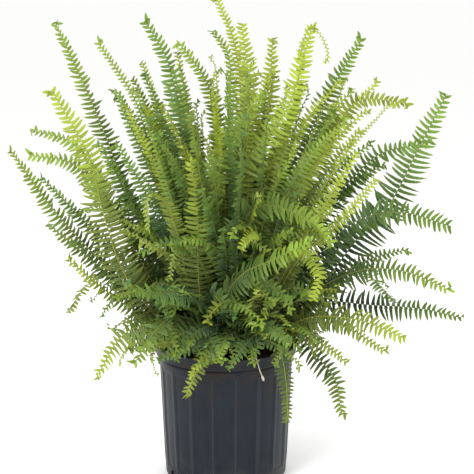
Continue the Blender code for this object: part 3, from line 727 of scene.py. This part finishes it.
# %% One table of leaflets as closed blades
LEAFLET_PITCH = (5.9, 1.15)  # mm, and how much more for each centimetre of the frond's half width
HALF_WIDTHS = (2.8, 4.2)  # cm, of an ordinary frond and of a broad one
LEAFLET_BREADTHS = (0.72, 0.64)  # of the pitch, on each of them: a broad frond has slender leaflets
LEAFLET_THICK = 0.28 * MM  # half the thickness at the midvein
SECTIONS = np.array([0.0, 0.06, 0.14, 0.24, 0.35, 0.46, 0.57, 0.68, 0.78, 0.87, 0.95])
OUTLINE = np.array([0.34, 0.9, 1.06, 0.94, 0.98, 0.84, 0.86, 0.69, 0.62, 0.39, 0.22])
LOBE = np.array([0.0, 0.42, 0.34, 0.06, 0, 0, 0, 0, 0, 0, 0])
CORNERS = 4
LEAFLET_CORNERS = len(SECTIONS) * CORNERS + 1
# In radians: the usual angle, what is added towards the frond's tip, how much leaflets differ, and
# if they differ more on a ruffled frond. The cup is a share of half the breadth.
HABITS = {
    "lean": (0.08, 0.07, 0.08, False),
    "sweep": (0.18, 0.1, 0.14, False),
    "droop": (0.1, 0.0, 0.13, True),
    "curl": (0.24, 0.0, 0.26, True),
    "twist": (0.14, 0.0, 0.3, True),
    "cup": (0.12, 0.0, 0.08, False),
}
TIP_LEAN, WAVE_DROOP = 0.28, 0.12  # radians


def leaflet_points(base, way, out, up, length, width, habit):
    """Corner points of all leaflets: one row of sections each, and a point at the end."""
    lean, sweep, droop, curl, twist, cup = (habit[key][:, None] for key in HABITS)
    s = SECTIONS[None, :]
    ahead = lean + sweep * s
    fall = droop + curl * s**1.5
    way, out, up = way[:, None, :], out[:, None, :], up[:, None, :]
    flat = out * np.cos(ahead)[..., None] + way * np.sin(ahead)[..., None]
    run = flat * np.cos(fall)[..., None] - up * np.sin(fall)[..., None]
    steps = np.diff(np.append(SECTIONS, 1.0))
    middle = np.cumsum(run * steps[None, :, None], axis=1) * length[:, None, None]
    centre = base[:, None, :] + np.concatenate((np.zeros_like(middle[:, :1]), middle[:, :-1]), 1)
    tip = base + middle[:, -1]
    normal = unit(up - run * (up * run).sum(-1, keepdims=True))
    across = np.cross(run, normal)
    towards_tip = np.sign((across * way).sum(-1, keepdims=True))
    across = across * towards_tip
    turn = (twist * (0.3 + s))[..., None]
    cosine, sine = np.cos(turn), np.sin(turn)
    across, normal = across * cosine + normal * sine, normal * cosine - across * sine
    half = (width[:, None] * OUTLINE / 2)[..., None]
    front = half * (1 + LOBE[None, :, None])
    bow = cup[..., None] * half
    thick = LEAFLET_THICK * (1 - 0.55 * s)[..., None] * np.minimum(1, half / (1.5 * MM))
    left = centre - across * half - normal * bow
    right = centre + across * front - normal * bow
    rings = np.stack((left, centre + normal * thick, right, centre - normal * thick), 2)
    return np.concatenate((rings.reshape(len(base), -1, 3), tip[:, None]), 1)


def per_corner(at_corners, at_tip):
    """One number for each corner of a leaflet, section by section, and one for its tip."""
    return np.append(np.tile(at_corners, len(SECTIONS)), at_tip)


ALONG_LEAFLET = np.append(np.repeat(SECTIONS, CORNERS), 1.0)
ACROSS_LEAFLET = per_corner((0.0, 0.5, 1.0, 0.5), 0.5)
MARGIN = per_corner((1.0, 0.0, 1.0, 0.0), 1.0)


def leaflet_faces():
    """Quads and end triangles of one leaflet, and which of them are on its underside."""
    quads, ends, under, under_ends = [], [], [], []
    for ring in range(len(SECTIONS) - 1):
        for k in range(CORNERS):
            a, b = ring * CORNERS + k, ring * CORNERS + (k + 1) % CORNERS
            quads.append((a, b, b + CORNERS, a + CORNERS))
            under.append(k >= 2)
    last = (len(SECTIONS) - 1) * CORNERS
    for k in range(CORNERS):
        ends.append((last + k, last + (k + 1) % CORNERS, last + CORNERS))
        under_ends.append(k >= 2)
    quads.append((3, 2, 1, 0))
    under.append(False)
    return np.array(quads), np.array(ends), np.array(under), np.array(under_ends)


QUADS, ENDS, UNDER_QUADS, UNDER_ENDS = leaflet_faces()
print("faces of one leaflet:", len(QUADS) + len(ENDS))

# %% The leaflets and the stalk of one frond
STALK_SHARE = 0.16  # the bare part below the first leaflets
FULLNESS = 0.52  # under 1, leaflets stay long nearer to the tip than the blade of the frame is wide
STALK_SIDES = 6
STALK_THICK = 1.5 * MM
STALK_THIN = 0.42 * MM
HOOK_STEPS, HOOK_STEP, HOOK_SHRINK = 6, 3.4, 0.35  # mm, and how much shorter each next step is
HOOK_HALF, HOOK_NARROWING = 3.2, 0.3  # mm, of the half width there
HALF_AT_TIP = 1.5 * MM
RUFFLE_LENGTH, DRIFT_LENGTH = 31 * MM, 60 * MM  # of the slow waves in droop and in tone
NEAR_END = 0.9999  # of a curve's length, so that no place is past its end


def hooked(line, step_turn, tilt):
    """The line with a tip that is still partly rolled up: every step turns by the same angle."""
    places, ups, halves, at = (list(table) for table in line)
    way = Vector(places[-1] - places[-2]).normalized()
    up = Vector(ups[-1])
    up = (up - way * way.dot(up)).normalized()
    side = way.cross(up)
    axis = (side * math.cos(tilt) + up * math.sin(tilt)).normalized()
    turn = Quaternion(axis, step_turn)
    for k in range(HOOK_STEPS):
        way, up = turn @ way, turn @ up
        places.append(places[-1] + np.array(way) * (HOOK_STEP - HOOK_SHRINK * k) * MM)
        if k < HOOK_STEPS - 1:
            ups.append(np.array(up))
            halves.append((HOOK_HALF - HOOK_NARROWING * k) * MM)
            at.append(len(places) - 1)
    return np.array(places), np.array(ups), np.array(halves), np.array(at)


def frond_table(line, seed, ruffle=1.0, hook=(25, 60), widening=1.0, fullness=FULLNESS, shade=0.0):
    """Points of a frond's leaflets and stalk along its line, with what their material reads."""
    rng = np.random.default_rng(seed)
    half_width = line[2].max() / CM
    pitch = (LEAFLET_PITCH[0] + LEAFLET_PITCH[1] * half_width) * MM
    places, ups, halves, at = hooked(line, math.radians(rng.uniform(*hook)), rng.normal(0, 1.1))
    steps = np.linalg.norm(np.diff(places, axis=0), axis=1)
    knots = np.concatenate(([0.0], np.cumsum(steps)))
    length = knots[-1]
    first = STALK_SHARE * length
    leaflets = 2 * int((length - first) / pitch)
    even = (np.arange(leaflets) + 0.5) / leaflets
    share = even * (1.08 - 0.08 * even)  # leaflets crowd together towards the tip
    where = first + (length - first) * share * 0.992
    hand = np.where(np.arange(leaflets) % 2, 1.0, -1.0)
    place = curve_through(places, where)
    ahead = curve_through(places, np.minimum(where + 1.5 * MM, length * NEAR_END))
    way = unit(ahead - curve_through(places, where - 1.5 * MM))
    up = interpolate(where, knots[at], ups)
    up = unit(up - way * (up * way).sum(1, keepdims=True))
    out = np.cross(way, up) * hand[:, None]
    reach = np.interp(where, np.append(knots[at], length), np.append(halves, HALF_AT_TIP))
    reach = widening * halves.max() * (reach / halves.max()) ** fullness
    more = {"lean": TIP_LEAN * smooth_step(0.72, 1.0, share)}
    more["droop"] = np.sin(where / RUFFLE_LENGTH + rng.uniform(0, 6.28)) * WAVE_DROOP * ruffle
    usual, habit = {}, {}
    for key, (at_foot, gain, spread, ruffled) in HABITS.items():
        usual[key] = at_foot + gain * share + more.get(key, 0.0)
        habit[key] = usual[key] + rng.normal(0, spread * (ruffle if ruffled else 1.0), leaflets)
    habit["twist"] *= hand
    long = reach / np.cos(usual["lean"]) * (1 + rng.normal(0, 0.07, leaflets))
    breadth = np.interp(half_width, HALF_WIDTHS, LEAFLET_BREADTHS) * pitch
    wide = breadth * np.minimum(1.0, (reach / (12 * MM)) ** 0.6)
    flat = leaflet_points(place - out * 0.2 * MM, way, out, up, long, wide, habit).reshape(-1, 3)

    rows = max(12, int(length / (9 * MM)))
    along = np.linspace(0, 1, rows + 1)
    spine = curve_through(places, along * length * NEAR_END)
    heading = unit(np.gradient(spine, axis=0))
    above = interpolate(along * length, knots[at], ups)
    above = unit(above - heading * (above * heading).sum(1, keepdims=True))
    beside = np.cross(heading, above)
    thick = (STALK_THIN + (STALK_THICK - STALK_THIN) * (1 - along) ** 0.8)[:, None, None]
    turn = 2 * math.pi * np.arange(STALK_SIDES)[None, :, None] / STALK_SIDES
    tube = spine[:, None] + thick * (np.cos(turn) * beside[:, None] + np.sin(turn) * above[:, None])

    mood = rng.normal(0, 0.2) + shade
    drift = 0.16 * np.sin(where / DRIFT_LENGTH + rng.uniform(0, 6.28))
    tones = mood + drift + rng.normal(0, 0.2, leaflets)
    up_leaflet = np.tile(ALONG_LEAFLET, leaflets)
    leaf = (np.repeat(share, LEAFLET_CORNERS), up_leaflet, np.tile(MARGIN, leaflets))
    blade = (
        up_leaflet * np.repeat(long, LEAFLET_CORNERS) / MM,
        (np.tile(ACROSS_LEAFLET, leaflets) - 0.5) * np.repeat(wide, LEAFLET_CORNERS) / MM,
    )
    none = np.zeros((rows + 1) * STALK_SIDES)
    return {
        "flat": flat,
        "hand": hand,
        "leaf": np.stack(leaf, 1),
        "tone": np.repeat(tones, LEAFLET_CORNERS),
        "blade": np.stack(blade, 1),
        "tube": tube.reshape(-1, 3),
        "stem": np.stack((np.repeat(along, STALK_SIDES), none, none), 1),
        "mood": none + mood,
        "rows": rows,
    }


# %% One piece made of one frond or several
def leaflet_mesh_faces(hands):
    """Quads and end triangles of all leaflets. Those of the other hand are turned over."""
    start = (np.arange(len(hands)) * LEAFLET_CORNERS)[:, None, None]
    faces = []
    for pattern in (QUADS, ENDS):
        rows = (pattern[None] + start).reshape(-1, pattern.shape[1])
        other = np.repeat(hands < 0, len(pattern))[:, None]
        faces.append(np.where(other, rows[:, ::-1], rows))
    return faces


TIP_KIND, STALK_KIND = 8, 9  # beside the kinds 0 to 3 of a section's corners
LEAF_SHARE = 0.95  # of the map's width. The rest holds the stalks.


def frond_piece(name, tables, slot_name):
    """One object with leaflets and stalks of these fronds, its finishes, attributes and maps."""
    hands = np.concatenate([table["hand"] for table in tables])
    flat = np.concatenate([table["flat"] for table in tables])
    tube = np.concatenate([table["tube"] for table in tables])
    quads, ends = leaflet_mesh_faces(hands)
    tube_quads, caps, start = [], [], len(flat)
    for table in tables:
        ring = np.arange(table["rows"])[:, None] * STALK_SIDES + start
        k = np.arange(STALK_SIDES)[None]
        j = (k + 1) % STALK_SIDES
        tube_quads.append(
            np.stack((ring + k, ring + STALK_SIDES + k, ring + STALK_SIDES + j, ring + j), -1).reshape(-1, 4)
        )
        last = start + table["rows"] * STALK_SIDES
        caps += [(start + k[0]).tolist(), (last + k[0][::-1]).tolist()]
        start += len(table["tube"])
    tube_quads = np.concatenate(tube_quads)
    faces = [*quads.tolist(), *ends.tolist(), *tube_quads.tolist(), *caps]
    leaf_faces, stalk_faces = len(quads) + len(ends), len(tube_quads) + len(caps)
    slots = np.repeat((0, 1), (leaf_faces, stalk_faces))
    made = mesh_object(name, np.concatenate((flat, tube)), faces, LEAVES[slot_name], slots)
    mesh = made.data

    for key, stem, kind in (("leaf", "stem", "FLOAT_VECTOR"), ("tone", "mood", "FLOAT")):
        values = [table[part] for part in (key, stem) for table in tables]
        set_attribute(mesh, key, kind, "POINT", np.concatenate(values))
    leaflets = len(hands)
    under = np.concatenate(
        (np.tile(UNDER_QUADS, leaflets), np.tile(UNDER_ENDS, leaflets), np.zeros(stalk_faces))
    )
    set_attribute(mesh, "underside", "FLOAT", "FACE", under)

    # The margins stay crisp, while the rest of a blade is shaded smooth.
    corner = np.tile(per_corner(np.arange(CORNERS), TIP_KIND), leaflets)
    kind = np.concatenate((corner, np.full(len(tube), STALK_KIND)))
    pairs = np.empty(2 * len(mesh.edges), np.int32)
    mesh.edges.foreach_get("vertices", pairs)
    a, b = kind[pairs.reshape(-1, 2)].T
    same = (a == b) | (np.maximum(a, b) == TIP_KIND)
    margin = np.isin(np.minimum(a, b), (0, 2))
    mesh.attributes.new("sharp_edge", "BOOLEAN", "EDGE").data.foreach_set("value", same & margin)

    # Millimetres on the blade for its veins.
    vertex = np.empty(len(mesh.loops), np.int32)
    mesh.loops.foreach_get("vertex_index", vertex)
    blade = [table["blade"] for table in tables] + [table["stem"][:, :2] for table in tables]
    set_map(mesh, "blade", np.concatenate(blade)[vertex])

    # One cell for each leaflet, its top at the left and its underside at the right, for baking.
    sides = [len(face) for face in faces]
    columns = math.ceil(math.sqrt(leaflets / 2))
    lines_up = math.ceil(leaflets / columns)
    number = np.repeat(np.arange(leaflets), LEAFLET_CORNERS)
    x = (number % columns + 0.04 + 0.44 * np.tile(ACROSS_LEAFLET, leaflets)) / columns * LEAF_SHARE
    y = (number // columns + 0.05 + 0.9 * np.tile(ALONG_LEAFLET, leaflets)) / lines_up
    strip = (1 - LEAF_SHARE) / len(tables)
    for i, table in enumerate(tables):
        round_it = np.tile(np.arange(STALK_SIDES), table["rows"] + 1) / STALK_SIDES
        x = np.append(x, LEAF_SHARE + strip * (i + 0.1 + 0.8 * round_it))
        y = np.append(y, 0.01 + 0.98 * table["stem"][:, 0])
    cell = np.stack((x, y), 1)[vertex]
    below = np.repeat(under, sides) * (vertex < len(flat))
    cell[:, 0] += below * 0.48 / columns * LEAF_SHARE
    set_map(mesh, "OFBake", cell)

    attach(made, "root")
    return made


# %% The fronds of the frame
# How much wider than its blade, how full to the tip, and how far the tip is rolled at each step.
ORDINARY = (1.18, FULLNESS, (25, 60))
BLUNT = {
    "frond_22": (1.1, 0.45, (20, 40)),
    "frond_26": (1.0, 0.3, (0, 4)),
    "frond_28": (1.1, 0.6, (5, 20)),
    "frond_32": (1.05, 0.5, (10, 40)),
    "frond_42": (1.35, 0.45, (0, 10)),
    "frond_43": (1.3, 0.42, (10, 30)),
}
# These are darker than others of their age.
DARKER = {12: 0.35, 22: 0.6, 24: 0.2, 26: 0.3, 32: 0.2, 42: 0.5, 43: 0.6}
slot_of_node = {entry["node"]: entry["material_slot"] for entry in frame["record"]["subparts"]}
for number, name in enumerate(frond_nodes, 1):
    widening, fullness, hook = BLUNT.get(name, ORDINARY)
    form = {"hook": hook, "widening": widening, "fullness": fullness, "shade": -DARKER.get(number, 0.0)}
    table = frond_table(frond_line(name), number, **form)
    grown = frond_piece(f"fern_{name}", [table], slot_of_node[name])
    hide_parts(name)
print("fronds grown:", len(frond_nodes))

# %% [markdown]
# ## Small fronds and fillers
#
# A fern in a pot is full because short fronds fill the space between the long ones. A few small
# ones with a place of their own, such as coiled new fronds and leaves that lie on the rim, are
# listed one by one. The rest are drawn from a seeded table: each is an arc that starts steeply from
# the crown, bends over, and ends as high as its layer of the plant does.

# %% Lines for fronds that have no solid of their own
def blade_share(u):
    """Width along a blade: soon wide, then ever narrower to a fine tip."""
    u = np.clip(u, 0, 1)
    return np.minimum(1, 0.5 + 2.6 * u) * (1 - u**2.2) ** 1.15


def free_line(marks, half_width, look=None, roll=0.0, samples=18):
    """A frond's line through marks in centimetres. Its upper side looks inwards, or where it is told
    to: degrees to the right of the front, and degrees upwards."""
    marks = np.array(marks, float) * CM
    total = np.linalg.norm(np.diff(marks, axis=0), axis=1).sum()
    places = curve_through(marks, np.linspace(0, total * NEAR_END, samples))
    way = unit(np.gradient(places, axis=0))
    if look is None:
        outward = marks[-1] - marks[0]
        side = unit(np.array([outward[1], -outward[0], 0.0]))
        side = side * math.cos(roll) + np.array([0, 0, 1.0]) * math.sin(roll)
        ups = np.cross(side[None], way)
    else:
        right, high = np.radians(look)
        facing = np.array([*around(right)[0] * math.cos(high), math.sin(high)])
        ups = facing[None] - way * (way @ facing)[:, None]
    at = np.arange(1, samples - 1)
    halves = half_width * CM * blade_share((at / (samples - 1) - STALK_SHARE) / (1 - STALK_SHARE))
    return places, unit(ups)[at], np.maximum(halves, 1.2 * MM), at


# %% Small fronds given one by one
COIL_REACH = 0.62
COIL = [
    (COIL_REACH * r * math.cos(t), COIL_REACH * r * math.sin(t))
    for r, t in ((1, 0), (0.85, 1.6), (0.6, 3.3), (0.35, 5.2))
]
# The name, the age, half the width in cm, where the upper side looks, and marks in cm.
SMALL_FRONDS = (
    ("coiled_tip", "young", 0.9, (0, 10),
     ((0.5, 4.5, 26), (-1.5, 5, 60), (-2.4, 5, 78), *((-3.0 + x, 5, 81.2 + z) for x, z in COIL))),
    ("reaching", "young", 1.3, (0, 25),
     ((5.6, -3, 26), (10, -7, 40), (15, -8, 52), (24, -10, 67), (30, -11, 73.5))),
    ("hooked", "young", 1.5, (-20, 20),
     ((3, -3, 26), (8, -5, 52), (13, -4, 73), (16.5, -4, 87), (18, -4, 85), (18.8, -4, 81))),
    ("drooping", "mature", 2.0, (-10, 30),
     ((-4, -6, 26), (-6, -10, 46), (-8.5, -13.5, 47.5), (-10, -15, 42.5))),
    ("rim_left", "young", 2.2, (-10, 50),
     ((-3, -6, 26), (-4, -12, 31.5), (-8, -14.5, 30.8), (-14, -14, 29.5))),
    ("rim_front", "young", 1.3, (0, 30), ((-0.5, -7.5, 26), (0, -12, 31.5), (1.7, -16, 27))),
    ("rim_middle", "mature", 1.2, (-20, 30), ((-1, -7.5, 26), (-1.5, -12, 31), (-1.9, -15.8, 27))),
    ("rim_right", "deep", 2.2, (10, 40), ((2, -8, 26), (5, -12, 32), (6, -14.5, 29.8), (4.4, -15.8, 27))),
    ("low_left", "mature", 1.6, (-20, 45), ((-7, 2, 26), (-16, 4, 36), (-23, 4, 36.5), (-26.5, 4, 33.5))),
    ("rim_corner", "young", 1.2, (-40, 30),
     ((-6.5, -4, 26), (-11, -6.8, 30), (-13.6, -8.2, 26.8), (-13.2, -8.8, 22.5))),
    ("hooked_right", "deep", 1.6, (0, 40), ((7, 3, 26), (20, 5, 36), (29, 6, 39.5), (32, 6, 36))),
    ("bright_right_1", "young", 2.4, (0, 20), ((4, -2, 26), (10, -4, 50), (17, -4, 64), (28, -4, 77))),
    ("bright_right_2", "young", 2.6, (10, 25), ((4, -4, 26), (9, -8, 48), (15, -8, 60), (26, -7, 72))),
    ("bright_right_3", "mature", 2.6, (-10, 20), ((3, -5, 26), (8, -9, 46), (13, -9, 60), (22, -9, 70.5))),
    ("bright_right_4", "young", 2.2, (0, 10), ((3, 1, 26), (9, -2, 54), (14, -3, 68), (21.5, -3, 77))),
    ("bright_right_5", "young", 2.6, (0, 30), ((5, -5, 26), (11, -9, 42), (17, -11, 53), (24, -10, 64.5))),
    ("dark_right", "deep", 2.8, (0, 15), ((6, 2, 26), (12, 3, 46), (20, 3, 58), (28, 3, 65))),
    ("dark_right_2", "deep", 3.0, (0, 20), ((6, 3, 26), (14, 6, 44), (22, 7, 54), (31, 7, 60))),
    ("dark_right_3", "deep", 3.0, (0, 20), ((7, 0, 26), (16, 2, 38), (25, 3, 47), (33, 3, 52))),
    ("dark_right_4", "deep", 2.8, (0, 30), ((7, 4, 26), (18, 6, 34), (28, 7, 41), (36, 7, 43))),
    ("left_1", "deep", 2.8, (0, 15), ((-5, 3, 26), (-10, 4, 48), (-15, 5, 60), (-21, 5, 73.5))),
    ("left_2", "mature", 2.6, (10, 15), ((-4, 2, 26), (-8, 2, 50), (-12, 3, 64), (-17.5, 3, 77))),
    ("left_3", "deep", 2.8, (-10, 20), ((-5, -3, 26), (-10, -5, 44), (-14.5, -6, 56), (-20, -6, 65.5))),
    ("left_4", "deep", 2.8, (0, 25), ((-6, 0, 26), (-12, 0, 42), (-18, 0, 54), (-24, 0, 65))),
    ("left_5", "mature", 2.4, (0, 10), ((-3, -3, 26), (-7, -6, 46), (-10.5, -8, 58), (-13.5, -8, 68))),
    ("left_6", "deep", 3.0, (0, 10), ((-4, 1, 26), (-8, 2, 42), (-12, 3, 54), (-15, 3, 62))),
)
FIRST_SMALL_SEED, FIRST_FILLER_SEED = 300, 501
for seed, (name, age, half_width, look, marks) in enumerate(SMALL_FRONDS, FIRST_SMALL_SEED):
    table = frond_table(free_line(marks, half_width, look), seed)
    frond_piece(f"small_frond_{name}", [table], f"leaf_{age}")
print("small fronds:", len(SMALL_FRONDS))


# %% Fillers drawn from a seeded table
def arc_line(rng, layer, turn):
    """The line of one filler: an arc outwards from the crown at this turn round the plant."""
    start, finish = (math.radians(rng.uniform(*layer[key])) for key in ("rise", "end"))
    foot = rng.uniform(*layer["foot"])
    steps = np.linspace(0, 1, 7)
    tilt = start + (finish - start) * steps ** layer["bend"]
    sideways = turn + rng.normal(0, 0.16) + rng.normal(0, 0.35) * steps
    piece = rng.uniform(*layer["length"]) / 6
    outward, _ = around(turn)
    mark, marks = np.array((*foot * outward, 25.4 + 1.6 * (1 - foot / 9))), []
    for angle, heading in zip(tilt, sideways):
        marks.append(mark)
        outward, _ = around(heading)
        mark = mark + piece * np.array((*math.cos(angle) * outward, math.sin(angle)))
    look = (rng.normal(0, 55), rng.uniform(0, 35)) if layer["facing"] else None
    return free_line(marks, rng.uniform(*layer["half"]), look, roll=rng.normal(0, 0.3))


def crossing_line(rng, layer, turn):
    """The line of one filler that leaves the crown outwards, then runs round the plant and sinks."""
    hand = rng.choice((-1, 1)) * rng.uniform(0.7, 1.15)
    lift, push = rng.normal(0, 1.3), rng.normal(0, 0.9)
    outward, beside = around(turn)
    marks = []
    for i, (reach, along, level) in enumerate(layer["marks"]):
        flat = (reach + push * (i > 0)) * outward + along * hand * beside
        marks.append((*flat, level + lift * (i > 0) + rng.normal(0, 0.5) * (i > 1)))
    look = (math.degrees(turn) + rng.normal(0, 22), rng.uniform(15, 50))
    return free_line(marks, rng.uniform(*layer["half"]), look)


GOLDEN_TURN = math.radians(137.508)
RUNNER_END = np.array((0.066, -0.150, 0.250))  # fillers keep clear of the runner's end
RUNNER_CLEAR = 3.4 * CM
# How many, cm from the axis to the foot, degrees of rise at the foot and at the end, cm of length,
# how late it bends, cm of half width, and if the upper side is turned to the front.
ARC_KEYS = ("count", "foot", "rise", "end", "length", "bend", "half", "facing")
ARCS = {
    "skirt": (30, (6.2, 8.6), (58, 80), (-55, -20), (13, 19), 0.8, (1.8, 2.5), False),
    "low": (30, (5, 8.4), (66, 84), (-25, 8), (19, 27), 0.9, (2.0, 2.8), False),
    "middle": (34, (3, 7), (76, 88), (12, 48), (26, 38), 1.1, (2.0, 3.0), True),
    "upright": (38, (0.6, 5), (84, 92), (50, 82), (38, 56), 1.3, (1.8, 2.8), True),
    "tall": (36, (2, 7), (74, 88), (38, 68), (42, 55), 1.2, (2.2, 3.2), True),
    "heart": (30, (0.5, 7.5), (80, 96), (40, 75), (17, 30), 1.2, (2.4, 3.2), True),
}
# How many, marks in cm (outwards, round the plant, up), and cm of half width.
CROSSING_KEYS = ("count", "marks", "half")
CROSSINGS = {
    "rim": (60, ((7.2, 0, 26), (11.5, 1.5, 30.8), (14.2, 6, 30.2), (14.9, 11.5, 26.4)), (2.0, 2.9)),
    "shoulder": (30, ((5.5, 0, 26), (10, 1.5, 36), (12.6, 7, 40), (13.6, 14, 36.5)), (2.5, 3.3)),
    "dome": (26, ((4, 0, 26), (8, 2, 41), (10, 8, 49), (11.5, 15.5, 48)), (2.6, 3.4)),
}
AGES = {
    "heart": ("deep",),
    "upright": ("young", "mature", "young", "deep"),
    "tall": ("deep", "mature", "deep", "young"),
    "middle": ("deep", "mature", "young"),
}
OTHER_AGES = ("deep", "mature", "deep", "mature", "young")
rng = np.random.default_rng(11)
seeds = itertools.count(FIRST_FILLER_SEED)
for make_line, keys, layers in ((arc_line, ARC_KEYS, ARCS), (crossing_line, CROSSING_KEYS, CROSSINGS)):
    for layer_name, row in layers.items():
        layer = dict(zip(keys, row))
        groups = {}
        ages = AGES.get(layer_name, OTHER_AGES)
        for number, seed in zip(range(layer["count"]), seeds):
            turn = GOLDEN_TURN * number + rng.uniform(-0.15, 0.15)
            line = make_line(rng, layer, turn)
            if np.linalg.norm(line[0] - RUNNER_END, axis=1).min() < RUNNER_CLEAR:
                continue
            table = frond_table(line, seed, ruffle=1.2, fullness=0.5)
            groups.setdefault(ages[number % len(ages)], []).append(table)
        for age, tables in sorted(groups.items()):
            frond_piece(f"fillers_{layer_name}_{age}", tables, f"leaf_{age}")
        print(layer_name, "fillers:", layer["count"])

# %% [markdown]
# ## The runner
#
# One thin runner leaves the crown and hangs over the rim. Its line is read from the frame like a
# frond's. It gets a round tube, a few dry scales and a bud at its end.

# %% The runner
keys, near, layers = rings_of(frame["nodes"]["runner"].data)
places = np.array([keys[layer].mean(0) for layer in layers])
RUNNER_SIDES, RUNNER_ROWS, RUNNER_THICK, BUD_THICK = 12, 90, 0.95 * MM, 1.5 * MM
length = np.linalg.norm(np.diff(places, axis=0), axis=1).sum()
along = np.linspace(0, 1, RUNNER_ROWS)
spine = curve_through(places, along * length * NEAR_END)
heading = unit(np.gradient(spine, axis=0))
side = unit(np.cross(heading, np.array((0.3, 1.0, 0.1))))
above = np.cross(heading, side)
# The bud swells at nine tenths of the length and rounds off at the end.
bud = smooth_step(0.9, 0.95, along) * np.sqrt(np.maximum(0, 1 - smooth_step(0.955, 1.02, along)))
joints = 1 + 0.06 * np.sin(along * 130)
thick = RUNNER_THICK * joints + BUD_THICK * bud
thick[-3:] *= (0.85, 0.6, 0.3)
turn = np.linspace(0, 2 * math.pi, RUNNER_SIDES, endpoint=False)[None, :, None]
round_it = np.cos(turn) * side[:, None] + np.sin(turn) * above[:, None]
tube = spine[:, None] + thick[:, None, None] * round_it
tube = np.concatenate((tube.reshape(-1, 3), spine[:1], spine[-1:] + heading[-1:] * 0.2 * MM))
parts = [(tube, turned_faces(RUNNER_ROWS, RUNNER_SIDES), 0, 0.0)]
rng = np.random.default_rng(8)
RUNNER_SCALES = 26
at = rng.integers(4, RUNNER_ROWS - 12, RUNNER_SCALES)
sizes = rng.uniform(0.8, 1, (RUNNER_SCALES, 1)) * np.array((3.2, 1.1, 0.3)) * MM
lean = rng.normal(0, 0.35, (RUNNER_SCALES, 3))
starts = spine[at] + unit(lean) * RUNNER_THICK
scale_points, scale_faces = lumps(rng, starts, sizes, heading[at] + lean, 0.05)
parts.append((scale_points, scale_faces, 1, 0.8))
runner = joined("bare_runner", parts, [runner_skin, crown_skin])
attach(runner, "root")
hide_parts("runner")
print("runner length", round(length, 3))
